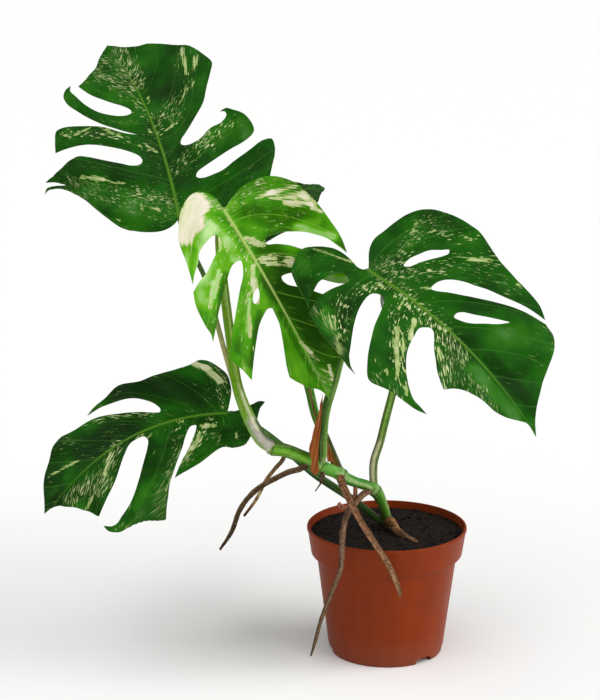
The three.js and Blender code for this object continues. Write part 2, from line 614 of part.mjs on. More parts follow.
// Openings through the foot ring, a little narrower at the top.
function footNotches() {
  const { width, topWidth, height, margin } = FOOT_NOTCH;
  const inner = POT.ringRadius - POT.ringWidth - margin;
  const depth = POT.footRadius + margin - inner;
  const opening = new THREE.Shape([
    [-width / 2, -margin], [width / 2, -margin], [topWidth / 2, height], [-topWidth / 2, height],
  ].map(([y, z]) => new THREE.Vector2(y, z)));
  const outward = new THREE.Matrix4().makeBasis(
    new THREE.Vector3(0, 1, 0), new THREE.Vector3(0, 0, 1), new THREE.Vector3(1, 0, 0));
  return around(FOOT_NOTCH, (angle) => new THREE.ExtrudeGeometry(
    opening, { depth, bevelEnabled: false },
  ).applyMatrix4(outward).translate(inner, 0, 0).rotateZ(angle));
}

function drainHoles() {
  return around(DRAIN, (angle) => new THREE.CylinderGeometry(
    DRAIN.radius, DRAIN.radius, POT.floorHeight * 4, DRAIN.sides,
  ).rotateX(Math.PI / 2).translate(DRAIN.circle, 0, 0).rotateZ(angle));
}

// Soil fills the pot and is a little higher in the middle, with lumps on its top.
function soil(cutters) {
  const [brim, band, ...lower] = potInside().map(([r, z]) => [Math.max(r - SOIL.clear, 0), z]);
  const floor = lower.at(-1)[1] + GAP;
  const sides = lower.slice(0, -2).reverse();
  const topRadius = THREE.MathUtils.mapLinear(SOIL.top, band[1], brim[1], band[0], brim[0]);
  const top = [];
  for (let r = topRadius - SOIL.ring / 2; r > SOIL.ring; r -= SOIL.ring) top.push([r, SOIL.top]);
  const geometry = turned([
    [0, floor], [lower.at(-2)[0], floor], ...sides, band,
    [topRadius, SOIL.top - SOIL.bevel], ...top, [0, SOIL.top],
  ]);
  const position = geometry.attributes.position;
  for (let i = 0; i < position.count; i++) {
    const [x, y, z] = [position.getX(i), position.getY(i), position.getZ(i)];
    if (z < SOIL.top - SOIL.bevel / 2) continue;
    const crown = SOIL.crown * (1 - (x * x + y * y) / topRadius ** 2);
    const turn = (2 * Math.PI) / SOIL.lumpPitch;
    position.setZ(i, z + crown + SOIL.lumps * Math.sin(x * turn + 1) * Math.cos((y - x / 2) * turn));
  }
  return cut(toSolid(geometry), cutters);
}

// ---------------------------------------------------------------- the plant in its pot

const plant = new THREE.Group();

function add(name, solid, finish) {
  const mesh = new THREE.Mesh(toGeometry(solid), finish);
  mesh.name = name;
  plant.add(mesh);
}

// What a neighbour is cut by: the same tube with the clearance round it.
const clearOf = (route) => tube(route, GAP / Math.cos(Math.PI / TUBE_SIDES));
const clearOfStem = clearOf(STEM);

add('pot', pot(), MATERIALS.pot);
add('soil', soil([clearOfStem, clearOf(ROOTS.root_e), clearOf(STALKS.d)]), MATERIALS.soil);
add('stem', tube(STEM), MATERIALS.stem);

for (const [letter, route] of Object.entries(STALKS)) {
  const neighbour = letter === 'a' ? clearOf(STALKS.b) : clearOfStem;
  const finish = letter === 'b' ? MATERIALS.paleStalk : MATERIALS.stalk;
  add(`petiole_${letter}`, cut(tube(route), [neighbour]), finish);
}
for (const [letter, leaf] of Object.entries(LEAVES)) {
  const finish = letter === 'b' ? MATERIALS.youngLeaf : MATERIALS.leaf;
  add(`leaf_${letter}`, cut(blade(leaf), [clearOf(STALKS[letter])]), finish);
}
for (const [name, route] of Object.entries(ROOTS)) {
  add(name, cut(tube(route), [clearOfStem]), MATERIALS.root);
}
for (const [name, sheath] of Object.entries(SHEATHS)) {
  add(name, blade({ ...sheath, rib: false }), MATERIALS.sheath);
}

export default plant;
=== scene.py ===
"""A potted variegated monstera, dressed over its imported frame.

The drawings below are in millimetres, and a mesh is made metres as it is finished.
"""

import math
import random

import bmesh
import bpy
from bpy.props import FloatProperty, FloatVectorProperty, IntProperty, PointerProperty
from bpy.types import Operator, Panel, PropertyGroup
from mathutils import Matrix, Quaternion, Vector, noise


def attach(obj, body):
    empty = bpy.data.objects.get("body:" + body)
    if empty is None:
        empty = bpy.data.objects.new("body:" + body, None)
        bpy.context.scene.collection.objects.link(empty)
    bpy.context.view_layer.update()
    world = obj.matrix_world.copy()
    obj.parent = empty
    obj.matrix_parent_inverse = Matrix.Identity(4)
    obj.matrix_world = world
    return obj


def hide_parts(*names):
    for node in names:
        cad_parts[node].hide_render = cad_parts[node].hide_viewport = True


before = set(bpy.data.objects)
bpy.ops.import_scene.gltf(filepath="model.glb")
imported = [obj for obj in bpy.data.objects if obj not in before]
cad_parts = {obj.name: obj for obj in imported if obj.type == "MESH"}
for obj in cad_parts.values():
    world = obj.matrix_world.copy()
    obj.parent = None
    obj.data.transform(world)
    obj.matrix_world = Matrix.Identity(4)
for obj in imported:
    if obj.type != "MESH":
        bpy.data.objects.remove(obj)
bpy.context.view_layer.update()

bl_info = {
    "name": "Potted Monstera",
    "version": (1, 0, 0),
    "blender": (4, 5, 0),
    "location": "3D View > Sidebar > Monstera",
    "description": "A creeping variegated monstera in a nursery pot",
    "category": "Object",
}

MM = 0.001
FRONT = Vector((0, -0.97, 0.244))  # the side that the blades turn to
YOUNGEST = "b"  # the leaf that is still light green, on a thick pale stalk
RIB = 2.3  # half width of the midrib at the base of a blade
LEFT_SHIFT = 20  # added to the vein count left of the midrib, so that the halves don't mirror
DASH_RUN = (30, 20, 1)  # cells of noise from vein to vein, and in 100 mm out from the midrib
CUT_SLACK = 0.05  # corners nearer to a cut than this are taken to lie on it

# ---------------------------------------------------------------- drawings

# Routes are (x, y, z, radius). The stem grows out of the soil and forward to the youngest stalk.
STEM = [
    (10, 14, 92, 4.8), (5.5, 12, 106, 4.8), (2, 10, 118, 4.9), (-3.6, 4, 141, 4.6),
    (-12, -5, 159, 6.2), (-19, -9, 164.6, 4.9), (-30, -14, 169.7, 4.9), (-40, -21, 176.4, 5.3),
    (-44, -23, 180, 6.6), (-50, -25, 183.4, 5.6), (-58.4, -29, 188, 5.7), (-64, -31, 191, 7),
    (-72, -33, 196.4, 6.4), (-82, -36, 202, 6.2), (-96, -40, 208.6, 6.2), (-108, -42, 211.4, 6.6),
    (-113, -42, 214.4, 3.4),
]

STALKS = {
    "a": [(-142, -33, 268, 2.2), (-147, -26, 283, 2.4), (-159, -6, 322, 2.4), (-170, 14, 358, 2.3),
          (-185, 30, 386, 2.4), (-192, 37, 403, 2.7), (-195, 40, 411, 2.6)],
    "b": [(-108, -42, 212, 6), (-117, -43, 219, 6.2), (-126, -43, 234, 5.9), (-134, -41, 252, 5.2),
          (-140, -36, 270, 4.7), (-146, -20, 308, 4.3), (-151, -6, 343, 4.2), (-154, 0, 369, 4.1),
          (-156, 0, 397, 4), (-154, -6, 415, 4.2), (-151, -20, 429, 3.4)],
    "c": [(-63.5, -31, 191, 4.6), (-61.7, -34, 205, 4.5), (-61.6, -36, 220, 4.5),
          (-59, -41, 246, 4.4), (-51, -49, 278, 4.3), (-42, -59, 318, 4.1), (-33, -71, 357, 4),
          (-28, -78, 377, 4.2), (-22, -82, 386, 3.4)],
    "d": [(-4, 10, 122, 3.6), (-20, 4, 137, 3.7), (-35, 0, 150, 3.9), (-52, -1, 162, 3.9),
          (-68, 0, 173, 3.9), (-93, 4, 194, 3.8), (-118, 11, 212, 3.8), (-134, 15, 221, 3.9),
          (-146, 15, 228, 3.9), (-151, 10, 230, 3.2)],
    "e": [(-45, -22, 181, 4.4), (-57, -13, 208, 4.3), (-68, -4, 233, 4.2), (-74, 5, 256, 4.1),
          (-84, 16, 284, 3.9), (-98, 30, 313, 3.8), (-114, 46, 344, 3.7), (-132, 61, 376, 3.7),
          (-143, 68, 392, 3.8), (-149, 70, 398, 3.1)],
    "f": [(-12.8, -5, 160, 3.8), (-12.9, 4, 183, 3.8), (-6.4, 11, 203, 3.7), (-2, 17, 220, 3.7),
          (5, 26, 245, 3.7), (11, 34, 266, 3.6), (12, 42, 288, 3.5), (11, 48, 311, 3.6),
          (11, 52, 325, 3)],
}

ROOTS = {
    "root_a": [(-44, -24, 179, 3.6), (-44, -36, 177.4, 3.5), (-35.6, -54, 163, 3.3),
               (-26.4, -68, 149, 3.1), (-13.7, -82, 132, 2.9), (-2, -84, 114, 2.7),
               (6, -80, 94, 2.4), (10, -76, 80, 1.6)],
    "root_b": [(-14, -6, 160, 3.2), (-22, -16, 159.4, 3.2), (-30, -32, 156.6, 3.1),
               (-36.5, -47, 154, 2.9), (-40.7, -60, 148, 2.9), (-43, -71, 140, 2.9),
               (-44, -77, 127, 2.8), (-45, -80, 109, 2.5), (-51, -78, 90, 2.3),
               (-58, -72, 69, 2.1), (-63, -66, 52, 1.9), (-68, -60, 29, 1.6), (-72, -55, 13, 0.9)],
    "root_c": [(-72, -33, 196, 3.2), (-82.5, -40, 190.6, 2.9), (-92, -43, 188.8, 2.7),
               (-107, -48, 183, 2.6), (-120.5, -52, 176, 2.5), (-131, -55, 166, 2.5),
               (-138, -56, 155, 2.4), (-145, -57, 136, 2.2), (-156, -56, 118, 1.1)],
    "root_d": [(-96, -40, 207, 2.1), (-98, -37, 199, 2), (-106, -35, 188.5, 1.9),
               (-114, -37, 178, 1.8), (-122, -42, 163, 1.7), (-134, -46, 147, 1.2)],
    "root_e": [(-1, 9, 125, 3.8), (4, 1, 126, 4.2), (9, -10, 121, 3.8), (17, -22, 118.5, 2.9),
               (26, -31, 116, 2.4), (35, -38, 110, 2)],
    "root_nub": [(-62, -31, 188, 2.4), (-61.3, -38, 183, 2.3), (-62.2, -41, 179.5, 1.9),
                 (-63.8, -43, 176.6, 0.8), (-66, -44, 173.7, 0.6), (-68.2, -44, 170.4, 0.5)],
    "root_stub": [(-30.4, -15, 168, 2.2), (-30.5, -17, 159.8, 2.1), (-32, -21, 151.6, 2.2),
                  (-37.9, -24, 147.4, 2.3), (-43, -27, 149.5, 2.3), (-46.2, -28, 153.3, 1.9)],
}

# A leaf's tone strokes lay light on its green: the lighter ones are painted sheen and the darker
# ones painted shade, as over all of leaves d and e; some are also real lighter and darker greens.
LEAVES = {
    "a": {
        "base": (-195, 40, 411), "tip": (-272, 190, 555), "roll": 0,
        "bow": 11.5, "arch": 12, "fold": 0.12, "droop": 12, "wave": 2, "pitch": 44,
        "edge": [
            [(0, 222), (16, 208), (42, 194), (67, 178), (82, 157), (87, 142), (81, 128), (72, 114),
             (64, 102), (50, 89), (38, 79), (30, 73), (29, 68), (35, 63), (47, 63), (60, 69),
             (72, 71), (79, 76), (79, 80), (75, 82)],
            [(75, 82), (81, 83), (87, 79), (95, 72), (98, 55), (96, 48), (84, 42), (66, 40),
             (42, 37), (32, 34), (30, 30), (35, 25), (52, 23), (67, 27), (86, 33), (101, 38),
             (109, 37), (109, 30), (106, 21), (94, 2), (82, -13), (64, -25), (42, -29), (21, -21),
             (8, -10), (0, 0)],
            [(0, 0), (-8, -5), (-17, -6), (-28, -3), (-41, 4), (-53, 13), (-61, 25), (-68, 38),
             (-76, 56), (-87, 73), (-96, 81), (-103, 84), (-109, 82)],
            [(-109, 82), (-104, 87), (-96, 84), (-86, 79)],
            [(-86, 79), (-93, 86), (-104, 93)],
            [(-104, 93), (-95, 94), (-83, 97), (-73, 102), (-66, 103), (-56, 96), (-45, 86),
             (-31, 74), (-22, 67), (-14, 65), (-11, 68), (-12, 75), (-22, 87), (-34, 97),
             (-48, 107), (-60, 113), (-74, 117), (-85, 119)],
            [(-85, 119), (-81, 130), (-76, 139), (-70, 140), (-60, 137), (-47, 130), (-35, 122),
             (-24, 111), (-15, 103), (-4, 96)],
            [(-4, 96), (-18, 108), (-30, 121), (-41, 137), (-50, 151), (-57, 164), (-58, 176),
             (-54, 186), (-48, 188)],
            [(-48, 188), (-50, 183), (-47, 171), (-42, 156), (-33, 142), (-21, 131), (-9, 124),
             (-3, 124), (-3, 128), (-9, 136), (-18, 145), (-31, 161), (-38, 176), (-41, 183)],
            [(-41, 183), (-29, 188), (-19, 196), (-12, 208), (-5, 216), (0, 222)],
        ],
        "holes": [],
        "veins": {
            "right": [(2, 30, -18, 70, -12), (8, 40, 12, 100, 25), (38, 42, 51, 92, 66),
                      (66, 40, 88, 80, 142), (84, 35, 96, 69, 165), (112, 25, 124, 52, 170),
                      (140, 18, 152, 38, 188), (168, 12, 180, 24, 200), (196, 6, 206, 10, 213)],
            "left": [(2, 25, 10, 60, 40), (18, 35, 42, 88, 80), (38, 35, 62, 70, 92),
                     (76, 35, 110, 78, 130), (104, 30, 130, 52, 172), (134, 15, 155, 33, 180),
                     (165, 10, 180, 22, 192), (195, 6, 205, 10, 211)],
        },
        "cream": [(66, 171, 60, 141, 2, 0.9), (74, 156, 66, 140, 1.4, 1.1),
                  (78, 157, 72, 147, 1, 0.8), (64, 128, 60, 122, 1.1, 1),
                  (55, 123, 42, 104, 2.2, 0.75), (34, 115, 29, 105, 1.4, 0.8),
                  (26, 110, 17, 100, 1.4, 0.7), (33, 91, 15, 87, 1.2, 1.1),
                  (17, 134, 16, 127, 1.9, 0.7), (17, 153, 14, 147, 1, 0.8),
                  (83, 69, 80, 64, 1.4, 0.8), (-60, 125, -44, 126, 1.7, 1),
                  (-74, 134, -66, 125, 1.2, 0.9), (-36, 121, -17, 96, 1.9, 0.75),
                  (-8, 86, 5, 72, 1.4, 0.9), (-71, 79, -52, 66, 1.5, 1.3),
                  (-52, 66, -35, 53, 1.1, 1), (-28, 24, -13, 13, 1, 1),
                  (-56, 43, -64, 48, 1.4, 0.6), (-23, 191, -15, 179, 1.5, 0.8),
                  (-9, 203, -6, 197, 2.2, 0.8), (15, 185, 17, 174, 3.4, 0.55),
                  (8, 202, 10, 184, 1.2, 0.7), (67, 175, 64, 164, 1.9, 0.7),
                  (6, 98, 7, 94, 1.2, 0.8), (62, 28, 73, 29, 1, 0.7), (-57, 24, -52, 19, 1, 0.7)],
        "specks": [(9, 206, 15, 155, 8.5, 0.9), (-13, 202, 3, 161, 10, 0.65),
                   (-26, 193, 3, 140, 7, 0.5), (60, 166, 36, 122, 5.4, 0.55),
                   (36, 122, 13, 93, 7, 0.75), (62, 133, 33, 97, 5.9, 0.6),
                   (79, 70, 52, 59, 7, 0.7), (52, 59, 16, 46, 7, 0.75),
                   (6, 128, 11, 113, 5.9, 0.7), (-70, 133, -25, 104, 4, 0.9),
                   (-25, 104, 4, 74, 3.4, 0.8), (-37, 132, -3, 111, 2.8, 0.4),
                   (-86, 78, -9, 11, 11.6, 0.55), (-28, 40, 0, 20, 5.4, 0.5),
                   (46, 186, 32, 132, 11.6, -1.2), (53, 21, 86, 23, 10.8, -0.5),
                   (-72, 89, -23, 62, 4.6, -0.3)],
        "tone": [(42, 186, 33, 136, 13.9, -0.1), (-71, 93, -36, 70, 9.3, -0.2),
                 (52, 18, 91, 24, 10.8, -0.15), (5, 66, -3, 37, 9.3, -0.15),
                 (91, 65, 90, 48, 6.2, 0.3), (-41, 30, -11, 6, 7.7, 0.25),
                 (-78, 125, -76, 118, 6.2, 0.25), (28, 65, 44, 42, 6.2, -0.15),
                 (43, 59, 75, 65, 3.7, 0.15)],
    },
    "b": {
        "base": (-151, -20, 429), "tip": (-56, -80, 269), "roll": -10,
        "bow": -1, "arch": 12, "fold": 0.28, "droop": 4, "wave": 2, "pitch": 46,
        "edge": [
            [(0, 196), (-14, 179), (-26, 167), (-34, 157), (-40, 146), (-44, 133), (-45, 119)],
            [(-45, 119), (-37, 112), (-29, 103), (-21, 95), (-15, 89), (-13, 83), (-14, 80),
             (-18, 80), (-24, 82), (-33, 89), (-43, 100), (-53, 110), (-64, 117)],
            [(-64, 117), (-65, 108), (-62, 97), (-54, 82), (-40, 67), (-33, 59), (-24, 52),
             (-17, 48), (-17, 45), (-20, 42), (-27, 43), (-34, 45), (-42, 49), (-51, 55),
             (-58, 62), (-65, 71), (-69, 81), (-73, 91)],
            [(-73, 91), (-76, 71), (-74, 49), (-70, 23), (-67, 12), (-61, 3), (-54, -4), (-45, -9),
             (-34, -11), (-24, -11), (-13, -7), (0, 0)],
            [(0, 0), (0, -7), (1, -15), (4, -21), (10, -26), (18, -27), (27, -23), (36, -16),
             (47, 0), (52, 10), (57, 34), (61, 51)],
            [(61, 51), (56, 44), (47, 35), (41, 27), (31, 21), (21, 18), (18, 19), (19, 23),
             (23, 30), (33, 38), (46, 47), (55, 51), (64, 57)],
            [(64, 57), (68, 68), (70, 81), (70, 91), (69, 98), (71, 105)],
            [(71, 105), (65, 98), (57, 88), (48, 78), (38, 67), (29, 58), (21, 51), (14, 49),
             (11, 50), (12, 55), (17, 64), (25, 73), (34, 84), (43, 95), (52, 106), (59, 116),
             (65, 124)],
            [(65, 124), (63, 131), (59, 139), (56, 150)],
            [(56, 150), (45, 134), (36, 122), (26, 110), (17, 103), (11, 100), (7, 102), (7, 108),
             (9, 118), (13, 130), (18, 143), (22, 154), (24, 163)],
            [(24, 163), (19, 170), (12, 179), (5, 184), (2, 189), (0, 196)],
        ],
        "holes": [
            [(10, 79), (11, 84), (15, 89), (20, 91), (20, 88), (16, 82)],
        ],
        "veins": {
            "right": [(0, 20, -8, 55, 30), (24, 30, 47, 68, 88), (64, 30, 97, 60, 135),
                      (118, 12, 140, 18, 160), (150, 10, 168, 14, 178), (175, 5, 184, 8, 188)],
            "left": [(0, 30, 0, 66, 24), (14, 35, 27, 73, 72), (52, 40, 78, 60, 106),
                     (88, 25, 112, 42, 128), (114, 20, 136, 36, 152), (140, 14, 160, 24, 168),
                     (168, 6, 180, 10, 185)],
        },
        # The narrow cream strokes on leaf b's lobes, beside its sheen streaks, are partly painted
        # sheen.
        "cream": [(19, -21, 44, 7, 9, 1.7), (16, -11, 28, 2, 6.5, 1.6),
                  (10, -20, 8, -12, 4.4, 0.5), (16, 2, 14, 3, 4.9, -1.6), (-30, 6, -45, 7, 2, 1.1),
                  (-45, 7, -65, 13, 2.3, 0.95), (-43, 11, -65, 26, 4.9, 0.9),
                  (-48, 23, -67, 36, 2.3, 1.1), (-67, 24, -70, 37, 3.8, 0.85),
                  (-66, 40, -72, 47, 1.7, 1.4), (-4, 35, -15, 47, 3.2, 0.98),
                  (-7, 58, -28, 73, 4.8, 1), (-14, 69, -24, 76, 1.5, 0.4),
                  (9, 72, 17, 90, 2.9, 1.15), (3, 59, 14, 73, 1.7, 0.85),
                  (25, 92, 39, 115, 2.2, 0.7), (20, 80, 28, 88, 1.7, 0.8),
                  (33, 53, 48, 68, 1.3, 0.8), (49, 62, 58, 76, 1.3, 0.7), (58, 76, 62, 88, 2, 0.6),
                  (44, 20, 54, 28, 1.7, 0.5), (-1, 140, -4, 152, 1.9, 1.1),
                  (-13, 170, -10, 183, 1.6, 1.35), (-5, 153, -8, 176, 1.5, 0.6),
                  (18, 22, 23, 34, 1.2, 0.8), (1, 8, 1, 17, 1.2, 0.8)],
        "specks": [(-7, 0, -39, -4, 7, 0.6), (-39, -4, -65, 8, 4.4, 0.45),
                   (-6, 82, -21, 156, 13.1, -1.2), (15, 10, 2, 52, 8, 0.55),
                   (9, -22, 3, -4, 4.7, 1), (19, 30, 59, 66, 5.1, 0.5),
                   (0, 153, -4, 186, 4.1, 0.8), (2, 53, 38, 99, 5.1, 0.5),
                   (-35, 25, -58, 39, 5.8, 0.25), (2, 109, 8, 160, 8.7, -0.6)],
        # Leaf b's tone strokes lighten one half and lay narrow streaks on its lobes, as painted
        # sheen, and darken the other half beside the midrib, as painted shade; part of it is the
        # young leaf's own lighter green.
        "tone": [(26, 3, 51, 38, 11.6, 0.46), (18, 16, 59, 66, 10.2, 0.5),
                 (6, 36, 36, 100, 13.1, 0.3), (36, 100, 56, 137, 8.7, 0.15),
                 (3, 121, 12, 166, 8.7, 0.2), (-32, -7, -63, 8, 6.5, -0.15),
                 (-8, 1, -36, -4, 4.9, 0.2), (-11, 68, -20, 160, 14.5, -0.75),
                 (-18, 16, -64, 55, 8.7, -0.3), (-47, 48, -70, 72, 3.8, 0.7),
                 (11, 29, 14, 46, 5.2, 0.5), (33, 49, 50, 70, 1.5, 0.8),
                 (43, 56, 55, 73, 1.5, 0.5), (3, 59, 15, 80, 1.6, 0.75),
                 (22, 85, 39, 110, 1.5, 0.7), (-48, 102, -62, 112, 5.2, 0.8),
                 (29, 55, 55, 85, 2.6, -0.55), (45, 23, 57, 44, 3.5, -0.45),
                 (20, 100, 50, 138, 2.9, -0.45), (-1, 72, 5, 97, 3.5, -0.3),
                 (43, 102, 56, 122, 2.6, -0.25), (4, 108, 4, 170, 2, -0.4),
                 (11, 4, 5, 13, 5.8, -0.25), (-32, 37, -66, 53, 2.6, 0.3),
                 (23, -16, 25, -5, 5.8, 0.2)],
    },
    "c": {
        "base": (-22, -82, 386), "tip": (123, -138, 251), "roll": -20,
        "bow": -5, "arch": 20, "fold": 0.15, "droop": 12, "wave": 2, "pitch": 44,
        "edge": [
            [(0, 206), (-9, 195), (-16, 189), (-25, 183), (-36, 177), (-47, 172), (-57, 167),
             (-65, 162), (-72, 154), (-74, 143)],
            [(-74, 143), (-67, 126), (-60, 110), (-53, 97), (-45, 85), (-37, 74), (-29, 63),
             (-23, 55), (-22, 51), (-26, 50), (-34, 52), (-40, 57), (-46, 66), (-51, 76),
             (-57, 86), (-63, 99), (-68, 113), (-72, 127), (-76, 140)],
            [(-76, 140), (-81, 125), (-84, 109), (-83, 95), (-84, 81), (-88, 68), (-91, 54),
             (-95, 40), (-95, 29), (-92, 17), (-87, 6), (-81, -4), (-74, -10), (-64, -14),
             (-51, -16), (-39, -17), (-28, -18), (-19, -15), (-13, -11), (-5, -4), (0, 0)],
            [(0, 0), (3, -8), (1, -19), (0, -31), (2, -41), (9, -51), (17, -58), (26, -57),
             (36, -53), (43, -49), (49, -40), (55, -29), (61, -18), (65, -11)],
            [(65, -11), (57, -17), (49, -20), (39, -23), (30, -22), (22, -20), (17, -16), (17, -9),
             (20, -5), (26, -7), (34, -10), (44, -12), (54, -12), (63, -10), (69, -8)],
            [(69, -8), (73, 3), (76, 14), (78, 27), (82, 40), (85, 52), (85, 60)],
            [(85, 60), (83, 53), (78, 46), (70, 40), (60, 33), (49, 26), (36, 20), (22, 17),
             (16, 18), (12, 23), (12, 27), (14, 30), (25, 35), (38, 40), (49, 46), (62, 54),
             (72, 62), (78, 68), (80, 73), (79, 80), (76, 89), (73, 99), (71, 109), (70, 118),
             (67, 127)],
            [(67, 127), (66, 119), (65, 111), (62, 104), (57, 96), (50, 87), (41, 79), (32, 74),
             (22, 71), (13, 69), (8, 72), (5, 76), (6, 80), (10, 84), (18, 91), (25, 99),
             (32, 107), (37, 116), (39, 122)],
            [(39, 122), (31, 127), (25, 135), (21, 145), (18, 155), (16, 165), (12, 176), (4, 186),
             (-1, 193), (0, 206)],
        ],
        "holes": [
            [(-23, 19), (-31, 18), (-40, 21), (-49, 25), (-56, 32), (-61, 37), (-58, 39),
             (-51, 36), (-44, 32), (-35, 27), (-26, 23)],
            [(-17, 83), (-21, 82), (-26, 85), (-32, 95), (-38, 104), (-45, 114), (-49, 120),
             (-40, 114), (-31, 105), (-24, 98), (-19, 90)],
        ],
        "veins": {
            "right": [(0, 18, -38, 60, -18), (6, 40, 5, 80, 34), (42, 35, 57, 72, 92),
                      (86, 15, 98, 34, 120), (110, 14, 126, 24, 138), (140, 10, 152, 16, 160),
                      (172, 6, 182, 8, 186)],
            "left": [(0, 30, -5, 80, 8), (5, 40, 9, 93, 36), (27, 44, 50, 82, 105),
                     (54, 32, 82, 68, 140), (84, 30, 116, 60, 158), (112, 25, 138, 46, 170),
                     (142, 18, 162, 34, 178), (172, 10, 184, 18, 189)],
        },
        "cream": [(30, 53, 47, 70, 2.3, 0.8), (25, 56, 62, 87, 2.5, 0.8),
                  (25, 63, 51, 82, 1.5, 0.8), (11, 61, 26, 70, 2.8, 1.15),
                  (65, 76, 74, 87, 2.3, 0.8), (58, 96, 66, 103, 2, 0.85),
                  (-4, 39, 12, 44, 1.2, 0.9), (15, 94, 28, 113, 2, 0.85),
                  (-4, 113, 10, 118, 1.3, 0.6), (-65, -2, -52, 2, 1.7, 0.75),
                  (-63, 12, -70, 15, 1.2, 0.9), (-73, 26, -84, 42, 2.2, 0.7),
                  (-61, 43, -80, 71, 2.2, 0.65), (-68, 55, -77, 67, 1.3, 0.5),
                  (-27, 33, -35, 36, 1, 0.8), (-17, 45, -22, 51, 1, 1.2),
                  (12, -50, 2, -16, 1.5, 0.9), (58, 1, 65, 14, 3.7, 0.6),
                  (59, 15, 80, 37, 2.5, 0.75), (4, 12, 5, 21, 2.3, 0.85),
                  (16, 7, 11, 14, 1.8, 0.8), (1, 78, -5, 89, 1.5, 0.8), (2, 46, 6, 54, 1.5, 0.7),
                  (-5, 64, 0, 73, 1.5, 0.7), (-83, 102, -78, 100, 1.3, 0.6)],
        "specks": [(-5, 4, -70, 3, 7, 0.55), (-12, 10, -80, 15, 6.7, 0.35),
                   (-18, 16, -81, 70, 8, 0.55), (-9, 20, -41, 48, 5, 0.6),
                   (-70, 23, -86, 44, 5.3, 0.8), (-62, 73, -78, 104, 5.8, 0.45),
                   (22, 9, 0, 18, 5, 1.1), (-2, 33, 1, 78, 8, 1.1), (1, 78, 1, 112, 7.5, 1.1),
                   (6, 86, 34, 120, 6.3, 0.95), (16, 112, 17, 162, 9.2, 0.65),
                   (17, 47, 67, 96, 8.3, 0.8), (60, 58, 76, 76, 5, 0.5),
                   (36, 3, 79, 35, 6.3, 0.85), (61, -6, 61, 13, 5.7, 0.6),
                   (-41, -14, -28, -8, 10, -0.8), (-25, 115, -13, 179, 18.3, -1.4),
                   (-27, 81, -57, 128, 10, -1), (23, 32, 54, 56, 6.3, -0.6)],
        "tone": [(24, -55, 38, -39, 5, 0.35), (15, -41, 13, -16, 10, -0.2),
                 (27, 36, 67, 67, 8.3, 0.2), (-13, 130, -14, 189, 5.3, -0.45),
                 (-43, 119, -56, 158, 13.3, 0.2), (-45, 129, -47, 160, 10, 0.1),
                 (5, 128, 5, 182, 6, 0.66), (45, 4, 53, 23, 8.3, -0.35),
                 (-32, -19, -22, -3, 11.7, 0.1), (-3, 76, -6, 101, 10, -0.2),
                 (57, 2, 67, 16, 5.7, 0.6), (-18, 59, -63, 121, 6.7, -0.1),
                 (61, -6, 64, 1, 5, -0.2), (-27, 81, -49, 120, 5, -0.2)],
    },
    "d": {
        "base": (-151, 10, 230), "tip": (-313, -70, 156), "roll": 32,
        "bow": 19, "arch": 16, "fold": 0.15, "droop": 10, "wave": 2, "pitch": 42,
        "edge": [
            [(3, 196), (13, 190), (27, 182), (45, 165), (52, 157), (55, 147), (55, 138), (56, 129),
             (56, 120), (54, 111), (51, 102), (47, 91), (43, 80), (37, 69), (31, 61), (28, 55),
             (31, 53), (39, 55), (46, 60), (53, 68), (58, 77), (61, 87), (61, 98), (60, 106),
             (60, 114)],
            [(60, 114), (64, 104), (68, 94), (71, 83), (72, 75), (70, 60), (68, 44), (65, 29),
             (66, 12), (64, -1), (65, -13), (62, -20), (53, -24), (42, -26), (30, -23), (22, -19),
             (12, -11), (4, -4), (0, 0)],
            [(0, 0), (-1, -12), (1, -28), (3, -38), (0, -42)],
            [(0, -42), (-5, -34), (-16, -24), (-26, -15), (-35, -4), (-42, 8), (-42, 19),
             (-38, 28), (-39, 42), (-42, 57), (-45, 72), (-46, 84)],
            [(-46, 84), (-39, 76), (-32, 67), (-24, 56), (-14, 45), (-7, 38), (-1, 34), (0, 39),
             (-7, 48), (-21, 61), (-29, 70), (-38, 80), (-47, 90), (-57, 98), (-67, 106),
             (-77, 113)],
            [(-77, 113), (-71, 125), (-67, 134), (-63, 144), (-62, 154), (-57, 161), (-49, 162)],
            [(-49, 162), (-54, 157), (-54, 151), (-49, 142), (-44, 131), (-38, 122), (-27, 110),
             (-13, 97), (-2, 87), (7, 81), (13, 82), (14, 89), (13, 97), (5, 108), (-4, 118),
             (-15, 130), (-25, 143), (-33, 154), (-37, 160)],
            [(-37, 160), (-25, 164), (-17, 169), (-8, 176), (0, 182), (3, 188), (3, 196)],
        ],
        "holes": [],
        "veins": {
            "right": [(0, 25, -10, 56, -4), (8, 30, 14, 54, 30), (24, 28, 44, 48, 80),
                      (60, 16, 86, 34, 120), (100, 22, 128, 40, 150), (130, 18, 152, 34, 168),
                      (160, 10, 174, 18, 182)],
            "left": [(0, 10, -14, 40, 0), (6, 30, 24, 51, 60), (52, 46, 92, 76, 132),
                     (94, 20, 124, 42, 158), (128, 12, 146, 26, 164), (160, 6, 172, 10, 178)],
        },
        "cream": [(63, -4, 54, -11, 3.4, 1.5), (54, -11, 36, -15, 3.4, 1.45),
                  (-6, 28, -9, 21, 3.7, 1.25), (-15, 37, -25, 53, 2.3, 0.9),
                  (-22, 51, -36, 74, 1.3, 0.8), (-37, 76, -51, 97, 1, 1.1),
                  (-51, 97, -60, 104, 1, 0.7), (14, 116, -2, 133, 1.9, 1.15),
                  (18, 109, 11, 115, 1.1, 0.8), (2, 114, -5, 124, 1.1, 0.75),
                  (-4, 132, -16, 147, 1.3, 0.65), (-16, 155, -21, 164, 2.1, 1.1),
                  (26, 143, 30, 175, 1, 0.9), (25, 148, 28, 176, 1, 0.6),
                  (16, 81, 14, 93, 1.3, 0.7), (11, 75, 9, 82, 1.1, 0.9), (13, 46, 9, 43, 1.3, 0.8),
